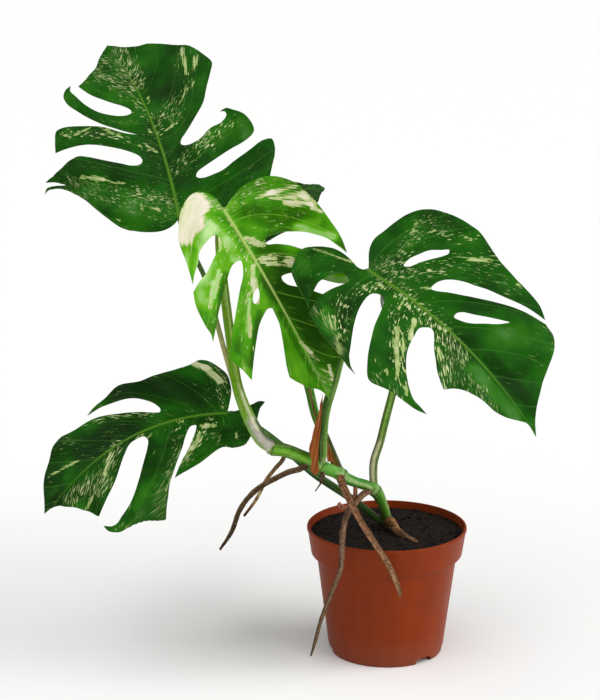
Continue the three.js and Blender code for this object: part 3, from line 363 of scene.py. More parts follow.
                  (35, -12, 32, -20, 1.1, 0.6), (46, 95, 52, 111, 1, 0.6),
                  (-28, 7, -33, 10, 1, 1.2)],
        "specks": [(58, -22, 25, -17, 4.8, 0.8), (29, -9, 7, -1, 3.7, 0.8),
                   (4, 18, -6, 16, 3.4, 0.8), (-11, 34, -34, 69, 6, 0.95),
                   (-19, 26, -37, 27, 4.3, 0.6), (10, 46, -37, 81, 5.1, 0.65),
                   (-40, 89, -67, 114, 7.1, 0.65), (-60, 127, -59, 152, 3.7, 0.6),
                   (19, 108, -17, 146, 6.4, 0.95), (-10, 137, -5, 170, 7.1, 0.85),
                   (2, 141, 0, 170, 5.1, 0.8), (55, 121, 30, 63, 2.8, 0.9),
                   (50, 153, 47, 138, 4, 0.5), (37, 112, 30, 98, 3.1, 0.3),
                   (61, 56, 52, 21, 15.7, -1), (0, 77, -37, 111, 6.4, -0.5),
                   (63, -4, 33, -15, 1.7, -0.8)],
        "tone": [(69, 68, 31, 10, 18.5, -0.45), (35, 137, 23, 93, 11.4, -0.4),
                 (0, 84, -44, 114, 8.5, -0.2), (15, 183, 15, 177, 3.7, 0.5),
                 (-11, 39, -29, 63, 4.3, 0.2), (18, 148, 5, 2, 37, -0.2),
                 (48, 162, 8, 193, 15.7, -0.5), (-36, 105, -52, 128, 4.8, 0.35)],
    },
    "e": {
        "base": (-149, 70, 398), "tip": (-59, 170, 416), "roll": -40,
        "bow": 0, "arch": 12, "fold": 0.12, "droop": 10, "wave": 1, "pitch": 40,
        "edge": [
            [(-2, 141), (4, 132), (8, 124), (15, 112), (25, 97), (34, 80)],
            [(34, 80), (26, 66), (15, 54), (11, 48), (15, 45), (26, 52), (41, 64)],
            [(41, 64), (43, 50), (45, 34), (45, 20), (40, 0), (28, -15), (14, -20), (5, -12),
             (0, 0)],
            [(0, 0), (-4, -12), (-12, -20), (-22, -18), (-32, -6), (-38, 12), (-40, 28),
             (-39, 42)],
            [(-39, 42), (-27, 33), (-17, 28), (-12, 31), (-16, 38), (-26, 46), (-37, 56)],
            [(-37, 56), (-34, 66), (-28, 78), (-20, 91), (-12, 108), (-7, 119), (-8, 130),
             (-7, 138), (-2, 141)],
        ],
        "holes": [],
        "veins": {
            "right": [(0, 20, -6, 40, 16), (12, 20, 24, 40, 52), (52, 14, 72, 25, 92),
                      (80, 10, 98, 15, 110), (110, 4, 120, 6, 126)],
            "left": [(0, 20, -4, 36, 14), (10, 18, 20, 34, 38), (34, 16, 50, 32, 70),
                     (62, 12, 80, 20, 92), (92, 6, 104, 8, 112)],
        },
        "cream": [(-24, 44, -16, 58, 3, 0.8)],
        "specks": [(0, 20, 0, 110, 30, 0.1)],
        # Leaf e is darkened all over, as painted shade where it lies behind leaf b.
        "tone": [(0, 0, 0, 125, 60, -0.55)],
    },
    "f": {
        "base": (11, 52, 325), "tip": (15, 180, 250), "roll": 90,
        "bow": 0, "arch": 10, "fold": 0.12, "droop": 8, "wave": 1, "pitch": 40,
        "edge": [
            [(0, 148), (7, 132), (20, 117), (33, 102), (44, 87)],
            [(44, 87), (32, 76), (20, 64), (14, 57), (18, 53), (32, 61), (50, 75)],
            [(50, 75), (55, 60), (58, 46)],
            [(58, 46), (42, 36), (26, 27), (19, 21), (24, 17), (40, 22), (59, 32)],
            [(59, 32), (57, 10), (48, -8), (34, -19), (19, -21), (7, -12), (0, 0)],
            [(0, 0), (-7, -13), (-18, -22), (-32, -20), (-46, -8), (-54, 10), (-56, 30)],
            [(-56, 30), (-40, 24), (-26, 19), (-19, 24), (-26, 30), (-42, 38), (-56, 49)],
            [(-56, 49), (-53, 64), (-48, 78)],
            [(-48, 78), (-32, 65), (-19, 57), (-14, 61), (-20, 69), (-32, 79), (-42, 90)],
            [(-42, 90), (-31, 105), (-18, 120), (-6, 134), (0, 148)],
        ],
        "holes": [],
        "veins": {
            "right": [(0, 25, -6, 52, 12), (26, 30, 44, 54, 62), (52, 20, 76, 38, 94),
                      (80, 16, 100, 26, 108), (112, 6, 124, 10, 130)],
            "left": [(0, 30, -4, 52, 12), (26, 30, 47, 52, 64), (54, 18, 74, 36, 94),
                     (84, 14, 104, 22, 114), (114, 6, 126, 8, 132)],
        },
        "cream": [(20, 14, 42, 28, 4, 0.9), (-32, 64, -16, 74, 4, 0.8)],
        "specks": [(0, 20, 0, 110, 40, 0.45)],
        "tone": [],
    },
}

SHEATHS = {
    "sheath_a": {
        "base": (-69, -42.5, 188), "tip": (-61.5, -57, 268), "roll": -35,
        "bow": 0, "arch": -2, "fold": 0, "droop": 120, "wave": 0, "pitch": 40,
        "edge": [
            [(0, 82), (0.4, 67), (-0.4, 56), (0, 45), (0.2, 31), (1, 18), (3.2, 9), (4.5, 3)],
            [(4.5, 3), (1.4, -1), (-1.7, -1), (-5, 1.5)],
            [(-5, 1.5), (-4.8, 9), (-7.6, 14), (-11, 19)],
            [(-11, 19), (-8.7, 32), (-6.6, 47), (-4, 58), (-2.3, 69), (0, 82)],
        ],
        "holes": [],
    },
    "sheath_b": {
        "base": (-54, -28, 194.7), "tip": (-57.7, -25, 213.5), "roll": 0,
        "bow": 0, "arch": 1, "fold": 0, "droop": 120, "wave": 0, "pitch": 40,
        "edge": [
            [(0, 20), (1.4, 12), (2.4, 6), (2.8, 0)],
            [(2.8, 0), (-2.8, 0)],
            [(-2.8, 0), (-1.8, 9), (-0.6, 15), (0, 20)],
        ],
        "holes": [],
    },
}

# Where the stem carries its ring scars, and where it is knobbly, by point of its route.
STEM_NODES = (4, 8, 11, 15)
KNOBBLY_NODE = 10

# Colours along a route: (part of its length, colour).
TINTS = {
    "stem": [(0, "#33261a"), (0.14, "#55361f"), (0.17, "#44441a"), (0.22, "#3a6414"),
             (0.33, "#44801e"), (0.39, "#468a26"), (0.42, "#3e7e24"), (0.55, "#428a2c"),
             (0.62, "#5ea43c"), (0.7, "#66aa40"), (0.74, "#58982c"), (0.82, "#50900e"),
             (0.97, "#5a9c14"), (1, "#a9a883")],
    "petiole_a": [(0, "#b8b276"), (0.25, "#b0ae6c"), (0.36, "#8a9a50"), (0.5, "#3f5c26"),
                  (1, "#48692a")],
    "petiole_b": [(0, "#b5b878"), (0.06, "#8aa632"), (0.15, "#76a01e"), (0.3, "#66920f"),
                  (0.9, "#72982a"), (1, "#7fa446")],
    "petiole_c": [(0, "#8aae54"), (0.05, "#55862a"), (0.2, "#4a7a2a"), (0.6, "#4c7c2a"),
                  (1, "#5a8a34")],
    "petiole_d": [(0, "#2f4c1c"), (0.4, "#2c5618"), (0.7, "#33661e"), (1, "#456f2c")],
    "petiole_e": [(0, "#5c5224"), (0.12, "#586222"), (0.2, "#44801c"), (1, "#48782a")],
    "petiole_f": [(0, "#8f9058"), (0.2, "#7c8c44"), (0.35, "#64902a"), (1, "#64921e")],
    "root_a": [(0, "#74462e"), (0.06, "#825436"), (0.45, "#7c543a"), (0.85, "#826244"),
               (1, "#5a4028")],
    "root_b": [(0, "#684836"), (0.5, "#624a3a"), (0.85, "#50422e"), (1, "#34301c")],
    "root_c": [(0, "#5a4230"), (0.3, "#4a3822"), (0.7, "#3e301c"), (1, "#2a1e16")],
    "root_d": [(0, "#5a4430"), (0.5, "#8a6a44"), (1, "#4c3626")],
    "root_e": [(0, "#54492a"), (0.15, "#80542f"), (0.36, "#8c6640"), (0.5, "#6a4c36"),
               (1, "#7a5a42")],
    "root_nub": [(0, "#6a5638"), (0.5, "#463424"), (0.8, "#1e1612"), (1, "#0e0b0a")],
    "root_stub": [(0, "#8a5c44"), (1, "#b87a5c")],
}

# Coloured stripes, painted highlights and painted shade: (from, to, angle round, half width in
# degrees, colour, strength). Angle 0 is the front; 90 is the right of a rising stalk and the top
# of a lying one.
MARKS = {
    # All the stem's stripes are painted light: the pale lines at the front and the paler band on
    # the right are painted highlights, and the dark stripes over the top, the underside, the back
    # and the left are painted shade.
    "stem": [(0.7, 1, 78, 40, "#2c5410", 0.75), (0.7, 1, -70, 40, "#38640f", 0.6),
             (0.72, 0.98, 5, 18, "#8cc04a", 0.5), (0.2, 0.6, 150, 70, "#2f5c20", 0.6),
             (0.42, 0.62, 15, 18, "#b2d488", 0.7), (0.2, 0.4, 60, 40, "#6fa044", 0.5),
             (0.2, 0.6, -75, 45, "#2c4c12", 0.7)],
    "petiole_b": [(0, 0.03, 0, 200, "#c6c88c", 0.8), (0.012, 0.13, 20, 70, "#c0b8ae", 0.95),
                  (0.1, 0.26, 42, 20, "#dde2b4", 0.9), (0, 0.12, 92, 34, "#34501a", 0.85),
                  (0.26, 1, 34, 13, "#a6c25e", 0.7), (0.26, 1, 70, 24, "#47661a", 0.6),
                  (0.03, 0.5, -55, 40, "#629c10", 0.7)],
    # On stalk c, the dark stripe at the front left is painted shade, the paler one on the right a
    # painted highlight, and the thin pale line down the left edge a painted highlight; the pale
    # band at its base is its own colour.
    "petiole_c": [(0, 0.035, 0, 200, "#b4c284", 0.7), (0.03, 1, -30, 36, "#31541a", 0.85),
                  (0.02, 1, 52, 26, "#7da347", 0.6), (0.02, 1, -80, 14, "#9db878", 0.6)],
    # On stalk d, the paler stripe on the right is a painted highlight and the dark left side
    # painted shade; the brown stripe near its base is its own colour.
    "petiole_d": [(0, 0.25, 85, 22, "#7a5a34", 0.8), (0.25, 0.6, 60, 26, "#6c8c4c", 0.4),
                  (0, 1, -60, 50, "#1c3810", 0.6)],
    "petiole_e": [(0.12, 0.6, 2, 14, "#74462a", 0.9), (0, 0.14, 70, 40, "#1f2a14", 0.7),
                  (0, 0.14, -20, 40, "#8a5428", 0.85)],
    "petiole_f": [(0, 0.24, -8, 40, "#b6b48a", 0.85), (0, 0.34, -68, 20, "#46302a", 0.75),
                  (0, 1, 46, 26, "#35561a", 0.8), (0.24, 1, -48, 24, "#4c5a24", 0.6)],
    # On roots a, b and c, the pale lines down the front and the top are painted highlights, and
    # the dark stripes down one side are painted shade.
    "root_a": [(0, 1, -75, 36, "#4a3220", 0.6), (0, 1, 20, 20, "#b98a64", 0.5)],
    "root_b": [(0, 1, 80, 36, "#4a3426", 0.5), (0, 1, -10, 22, "#957458", 0.5)],
    "root_c": [(0, 1, 70, 30, "#7a6044", 0.7)],
    "root_d": [(0.5, 0.55, 0, 200, "#c4a878", 0.8), (0.64, 0.68, 0, 200, "#c9b487", 0.8),
               (0.76, 0.8, 0, 200, "#b99c68", 0.7)],
}

# Which way round each leaf stalk carries its channel.
CHANNELS = {"a": 0, "b": 55, "c": 8, "d": 90, "e": 2, "f": 18}

# ---------------------------------------------------------------- small sums


def linear(colour):
    """An sRGB hex colour as the linear one that a shader takes."""
    parts = [int(colour[i:i + 2], 16) / 255 for i in (1, 3, 5)]
    return tuple(c / 12.92 if c <= 0.04045 else ((c + 0.055) / 1.055) ** 2.4 for c in parts) + (1,)


def clamp(value, low=0.0, high=1.0):
    return max(low, min(high, value))


def lerp(start, end, part):
    return start + (end - start) * part


def ease(start, end, value):
    """Goes softly from 0 at the start to 1 at the end, which may lie below the start."""
    part = clamp((value - start) / (end - start))
    return part * part * (3 - 2 * part)


def hump(distance, width):
    """A bell that is 1 in the middle, and near a third one width away."""
    return math.exp(-(distance / width) ** 2)


def grain(point, size, seed=0.0):
    """Smooth noise from -1 to 1, with lumps about size across."""
    return noise.noise(Vector(point) / size + Vector((seed, 3.1 * seed, 7.7)))


def tint_at(stops, part):
    """The colour of a run of (part, hex) stops."""
    for (low, first), (high, second) in zip(stops, stops[1:]):
        if part <= high:
            blend = clamp((part - low) / (high - low))
            return [lerp(p, q, blend) for p, q in zip(linear(first), linear(second))]
    return linear(stops[-1][1])


def spline(points, step, closed=False):
    """Runs one smooth centripetal curve through the points: (span, part of the span, place)."""
    given = [Vector(p) for p in points]
    if closed:
        line = [given[-1], *given, given[0], given[1]]
    else:
        line = [2 * given[0] - given[1], *given, 2 * given[-1] - given[-2]]
    found = []
    for span in range(len(line) - 3):
        p0, p1, p2, p3 = line[span:span + 4]
        d0, d1, d2 = (math.sqrt((q - p).length) for p, q in ((p0, p1), (p1, p2), (p2, p3)))
        leave = ((p1 - p0) / d0 - (p2 - p0) / (d0 + d1) + (p2 - p1) / d1) * d1
        reach = ((p2 - p1) / d1 - (p3 - p1) / (d1 + d2) + (p3 - p2) / d2) * d1
        count = max(1, round((p2 - p1).length / step))
        for t in (i / count for i in range(count)):
            place = p1 + leave * t + (3 * (p2 - p1) - 2 * leave - reach) * t ** 2 \
                + (2 * (p1 - p2) + leave + reach) * t ** 3
            found.append((span, t, place))
    if not closed:
        found.append((len(given) - 2, 1.0, given[-1]))
    return found


# ---------------------------------------------------------------- finishing a piece


def finish_piece(bm, name, nodes, materials):
    """Makes the worked mesh a piece of the plant that stands for these nodes."""
    bmesh.ops.scale(bm, vec=(MM,) * 3, verts=bm.verts)
    mesh = bpy.data.meshes.new(name)
    bm.to_mesh(mesh)
    bm.free()
    for material in materials:
        mesh.materials.append(material)
    piece = bpy.data.objects.new(name, mesh)
    bpy.context.scene.collection.objects.link(piece)
    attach(piece, "root")
    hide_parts(*nodes)


def smooth(bm, crease=math.radians(50)):
    """Shades the mesh smooth, but for edges that turn by more than the crease."""
    for face in bm.faces:
        face.smooth = True
    for edge in bm.edges:
        edge.smooth = len(edge.link_faces) < 2 or edge.calc_face_angle(0) < crease


def edges_of(verts):
    """The edges that meet at these vertices, each of them once."""
    return list(dict.fromkeys(e for v in verts for e in v.link_edges))


# ---------------------------------------------------------------- blades


def midrib_at(leaf, part):
    """How far the drawn midrib bows to the side, by part of its length."""
    q = clamp(part)
    return leaf["bow"] * 4 * q * (1 - q)


def blade_axes(leaf):
    """Where a blade stands: its base, the ways along it, across it and up from it, its length."""
    base = Vector(leaf["base"])
    along = Vector(leaf["tip"]) - base
    length = along.length
    along.normalize()
    up = (FRONT - along * FRONT.dot(along)).normalized()
    up.rotate(Quaternion(along, math.radians(leaf["roll"])))
    return base, along, along.cross(up), up, length


def blade_rise(leaf, length, off, b):
    """Height of the upper face over the flat drawing, off millimetres from the midrib.
    The fold is rounded over 6 mm, and the waves reach their full height 40 mm out."""
    q = clamp(b / length, -0.3, 1.05)
    phase = 2 * math.pi * (b - 0.55 * off) / leaf["pitch"]
    swell = leaf["wave"] * min(off / 40, 1) * math.cos(phase)
    fold = leaf["fold"] * (math.hypot(off, 6) - 6)
    return leaf["arch"] * 4 * q * (1 - q) + fold + swell - leaf["droop"] * (off / 100) ** 2


def flat_blade(leaf, length, cell, rim_step):
    """Fills the outline and its holes, and cuts the sheet into cells, finer beside the midrib.
    The sheet lies flat, with its midrib straight on x = 0."""
    bm = bmesh.new()
    rims = []
    for strokes, closed in [(leaf["edge"], False)] + [([hole], True) for hole in leaf["holes"]]:
        loop = []
        for stroke in strokes:
            drawn = [place for _, _, place in spline(stroke, rim_step, closed)]
            loop += drawn if closed else drawn[:-1]
        corners = [bm.verts.new((a - midrib_at(leaf, b / length), b, 0)) for a, b in loop]
        rims += [bm.edges.new(pair) for pair in zip(corners, corners[1:] + corners[:1])]
    bmesh.ops.triangle_fill(bm, use_beauty=True, edges=rims, normal=(0, 0, 1))
    beside_rib, first_cell = [0, 0.7, 1.4, 2.3, 3.4, 4.8], 6.6
    reach = max(abs(v.co.x) for v in bm.verts)
    count = int(max(0, reach - first_cell) / cell) + 1
    stops = beside_rib + [first_cell + cell * i for i in range(count)]
    low, high = min(v.co.y for v in bm.verts), max(v.co.y for v in bm.verts)
    cuts = [((side * x, 0, 0), (1, 0, 0)) for x in stops for side in (-1, 1) if x or side > 0]
    cuts += [((0, low + cell * (i + 0.5), 0), (0, 1, 0)) for i in range(int((high - low) / cell))]
    for place, facing in cuts:
        bmesh.ops.bisect_plane(bm, geom=bm.verts[:] + bm.edges[:] + bm.faces[:], dist=CUT_SLACK,
                               plane_co=place, plane_no=facing)
    # The fill's own slanting edges go, so that the cells are squares.
    slanted = []
    for edge in bm.edges:
        run = edge.verts[1].co - edge.verts[0].co
        if len(edge.link_faces) == 2 and min(abs(run.x), abs(run.y)) > 0.06:
            slanted.append(edge)
    bmesh.ops.dissolve_edges(bm, edges=slanted, use_verts=False)
    spare = [v for v in bm.verts if len(v.link_edges) == 2 and not v.is_boundary]
    bmesh.ops.dissolve_verts(bm, verts=spare)
    if bm.faces[:] and bm.faces[:][0].normal.z < 0:
        bmesh.ops.reverse_faces(bm, faces=bm.faces)
    return bm


def vein_reach(vein, off):
    """How far along the midrib a side vein has come, off millimetres out from it."""
    start, off1, b1, off2, b2 = vein
    slope1, slope2 = (b1 - start) / off1, (b2 - start) / off2
    curve = (slope2 - slope1) / (off2 - off1)
    return start + off * (slope1 - curve * off1 + curve * off)


def vein_phase(veins, off, b):
    """Counts side veins from the base: whole on a vein, and between two of them in proportion."""
    beyond = 20  # as far apart as the veins would be past the first and the last
    last = vein_reach(veins[0], off)
    if b < last:
        return (b - last) / beyond, beyond
    for i, vein in enumerate(veins[1:]):
        following = max(vein_reach(vein, off), last + 2)
        if b < following:
            return i + (b - last) / (following - last), following - last
        last = following
    return len(veins) - 1 + (b - last) / beyond, beyond


def side_veins(leaf, a):
    return leaf["veins"]["right" if a >= 0 else "left"]


def stroke_mask(leaf, length, strokes):
    """Lays soft brush strokes on the straightened blade. Each is (a, b, to a, to b, half width,
    strength); it is full to half its half width, and gone at 1.6 of it."""
    laid = []
    for a, b, to_a, to_b, half_width, strength in strokes:
        start = Vector((a - midrib_at(leaf, b / length), b))
        run = Vector((to_a - midrib_at(leaf, to_b / length), to_b)) - start
        laid.append((start, run, max(run.length_squared, 1e-6), half_width, strength))

    def mask(a, b):
        total = 0
        spot = Vector((a, b))
        for start, run, squared, half_width, strength in laid:
            away = spot - start
            distance = (away - run * clamp(away.dot(run) / squared)).length
            gone = 1.6 * half_width
            if distance < gone:
                total += strength * ease(gone, 0.5 * half_width, distance)
        return total
    return mask


def blade_relief(leaf, length, a, b, seed):
    """Fine form of the upper face: midrib, sunk side veins, pillows between them, buckles."""
    off = abs(a)
    phase, gap = vein_phase(side_veins(leaf, a), off, b)
    to_vein = abs(phase - round(phase)) * gap
    away = ease(2, 10, off)
    slim = 1 - 0.6 * clamp(b / length)
    ridge = 0.55 * slim * hump(off, 1.5 * slim) - 0.35 * slim * hump(off - 3.4 * slim, 1.3)
    pillow = 0.55 * away * clamp(gap / 18) * (0.5 - 0.5 * math.cos(2 * math.pi * phase))
    groove = 0.28 * away * hump(to_vein, 1.1)
    soft = 0.7 * grain((a, b, 0), 26, seed) + 0.25 * grain((a, b, 5), 9, seed)
    return ridge + pillow - groove + soft * away


def bend_blade(bm, leaf, axes, settings, seed):
    """Bends the flat sheet into the standing leaf and gives it its back and its rim."""
    base, along, across, up, length = axes
    flat = bm.verts.layers.float_vector.new("Flat")
    cream, specks, tone, rib, gap = (
        bm.verts.layers.float.new(name) for name in ("Cream", "Specks", "ToneAndPaintedLight", "Rib", "Gap"))
    flow = bm.loops.layers.uv.new("Flow")
    cream_at, specks_at, tone_and_painted_light_at = (
        stroke_mask(leaf, length, leaf[kind]) for kind in ("cream", "specks", "tone"))

    def stand(a, b, height):
        return base + across * (a + midrib_at(leaf, b / length)) + along * b + up * height

    for vert in bm.verts:
        a, b = vert.co.x, vert.co.y
        off = abs(a)
        slim = 1 - 0.7 * clamp(b / length)
        vert[flat] = (a, b, off)
        vert[cream] = clamp(cream_at(a, b), -2, 2)
        vert[specks] = clamp(specks_at(a, b), -1, 1)
        # The tone strokes hold painted sheen and painted shade, with some real lighter and darker
        # greens.
        vert[tone] = clamp(tone_and_painted_light_at(a, b), -1, 1)
        vert[rib] = ease(RIB * slim, 0.5 * slim, off) * ease(-2, 1, b) \
            * (1 - 0.6 * ease(0.5, 1, b / length))
        vert[gap] = vein_phase(side_veins(leaf, a), off, b)[1]
        rise = blade_rise(leaf, length, off, b) + blade_relief(leaf, length, a, b, seed)
        vert.co = stand(a, b, rise)
    bm.normal_update()

    face_down = bmesh.ops.extrude_face_region(
        bm, geom=bm.verts[:] + bm.edges[:] + bm.faces[:], use_keep_orig=True)["geom"]
    back = [v for v in face_down if isinstance(v, bmesh.types.BMVert)]
    back_faces = {f for f in face_down if isinstance(f, bmesh.types.BMFace)}
    thickness, depth = settings.thickness / MM, settings.rib_depth / MM
    for vert in back:
        a, b, off = vert[flat]
        slim = 1 - 0.75 * clamp(b / length)
        round_rib = depth * slim * math.sqrt(max(0, 1 - (off / (RIB * slim)) ** 2))
        phase, width = vein_phase(side_veins(leaf, a), off, b)
        side_rib = 0.5 * hump(abs(phase - round(phase)) * width, 1.1) * ease(1, 5, off)
        vert.co -= up * (thickness + round_rib * ease(-3, 2, b) + side_rib)

    back = set(back)
    for face in bm.faces:
        middle = sum(loop.vert[flat].x for loop in face.loops)
        veins = side_veins(leaf, middle)
        is_wall = face not in back_faces and any(loop.vert in back for loop in face.loops)
        face.material_index = 1 if face in back_faces else 2 if is_wall else 0
        for loop in face.loops:
            _, b, off = loop.vert[flat]
            shift = 0 if middle >= 0 else LEFT_SHIFT
            loop[flow].uv = (vein_phase(veins, off, b)[0] + shift, off / 100)
    bmesh.ops.recalc_face_normals(bm, faces=bm.faces)
    smooth(bm)
    for edge in bm.edges:
        if len({face.material_index for face in edge.link_faces}) > 1:
            edge.smooth = False


# ---------------------------------------------------------------- round pieces


def grow_tube(route, sides, pitch, shape):
    """Grows a closed tube along a route, ring after ring, each extruded from the one before.
    shape(travelled, turn, place, angle) scales the radius there; the angle is 0 at the front.
    Gives the mesh, the (turn, travelled, angle) of each vertex, its tint and its length."""
    stations, travelled = [], 0
    last = None
    for span, part, place in spline([p[:3] for p in route], pitch):
        radius = lerp(route[span][3], route[span + 1][3], part)
        travelled += (place - last).length if last else 0
        stations.append((place, radius, travelled))
        last = place
    total = travelled

    bm = bmesh.new()
    tint = bm.verts.layers.float_color.new("Tint")
    wrap = bm.loops.layers.uv.new("Wrap")
    ring = bmesh.ops.create_circle(bm, cap_ends=False, radius=1, segments=sides)["verts"]
    frames, headings = [], []
    heading = (stations[1][0] - stations[0][0]).normalized()
    aside = heading.orthogonal().normalized()
    for i, (place, radius, _) in enumerate(stations):
        before = stations[max(i - 1, 0)][0]
        after = stations[min(i + 1, len(stations) - 1)][0]
        turned = (after - before).normalized()
        aside.rotate(heading.rotation_difference(turned))
        heading = turned
        aside = (aside - heading * aside.dot(heading)).normalized()
        headings.append(heading)
        frames.append(Matrix.Translation(place) @ Matrix(
            (aside * radius, heading.cross(aside) * radius, heading * radius)
        ).transposed().to_4x4())
    bmesh.ops.transform(bm, matrix=frames[0], verts=ring)
    rings = [ring]
    for before, after in zip(frames, frames[1:]):
        around = [e for e in edges_of(rings[-1]) if all(v in rings[-1] for v in e.verts)]
        grown = bmesh.ops.extrude_edge_only(bm, edges=around)["geom"]
        fresh = {v for v in grown if isinstance(v, bmesh.types.BMVert)}
        bmesh.ops.transform(bm, matrix=after @ before.inverted(), verts=list(fresh))
        rings.append([next(e.other_vert(v) for e in v.link_edges if e.other_vert(v) in fresh)
                      for v in rings[-1]])
    open_rims = [e for e in bm.edges if e.is_boundary]
    bmesh.ops.holes_fill(bm, edges=open_rims, sides=sides)

    spot = {}
    front = Vector((0, -1, 0))
    for (place, _, reached), heading, verts in zip(stations, headings, rings):
        for k, vert in enumerate(verts):
            away = vert.co - place
            angle = math.degrees(math.atan2(away.dot(heading.cross(front)), away.dot(front)))
            spot[vert] = (k / sides, reached, angle)
            turn = 2 * math.pi * k / sides
            vert.co = place + away * shape(reached, turn, place, angle)
    for face in bm.faces:
        turns = [spot[v][0] for v in face.verts]
        seam = max(turns) - min(turns) > 0.5
        for loop in face.loops:
            turn, reached, _ = spot[loop.vert]
            loop[wrap].uv = (turn + (1 if seam and turn < 0.5 else 0), reached / 100)
    bmesh.ops.recalc_face_normals(bm, faces=bm.faces)
    smooth(bm)
    return bm, spot, tint, total


def turned_by(angle, other):
    """How far apart two angles are, in degrees."""
    return abs((angle - other + 180) % 360 - 180)


def paint_tube(spot, tint, total, name):
    """Colours a tube along its length, and then lays its stripes on; many of them are painted
    highlights and painted shade.
    """
    for vert, (_, reached, angle) in spot.items():
        part = reached / total
        colour = Vector(tint_at(TINTS[name], part))
        for start, end, facing, half_width, mark_colour, strength in MARKS.get(name, []):
            along = ease(start - 0.02, start, part) * ease(end + 0.03, end, part)
            across = ease(1.4 * half_width, 0.6 * half_width, turned_by(angle, facing))
            colour = colour.lerp(Vector(linear(mark_colour)), strength * along * across)
        vert[tint] = colour


def route_lengths(route):
    """How far along its curve each point of a route lies."""
    lengths, travelled, last = [0.0], 0, None
    for _, part, place in spline([p[:3] for p in route], 2):
        travelled += (place - last).length if last else 0
        if part == 0 and last:
            lengths.append(travelled)
        last = place
    return lengths + [travelled]


# ---------------------------------------------------------------- materials


def add_node(tree, kind, sockets=None, stops=None, **settings):
    """Adds a node with its settings, values or links for its sockets, and stops for a ramp."""
    node = tree.nodes.new(kind)
    for name, value in settings.items():
        setattr(node, name, value)
    for key, value in (sockets or {}).items():
        if isinstance(value, bpy.types.NodeSocket):
            tree.links.new(value, node.inputs[key])
        else:
            node.inputs[key].default_value = value
    for i, (position, colour) in enumerate(stops or []):
        elements = node.color_ramp.elements
        element = elements[i] if i < len(elements) else elements.new(position)
        element.position, element.color = position, colour
    return node


def start_material(name, values):
    """Starts a material with these values for its shader; gives it, its nodes and the shader."""
    material = bpy.data.materials.new(name)
    material.use_nodes = True
    shader = material.node_tree.nodes["Principled BSDF"]
    for socket, value in values.items():
        shader.inputs[socket].default_value = value
    return material, material.node_tree, shader


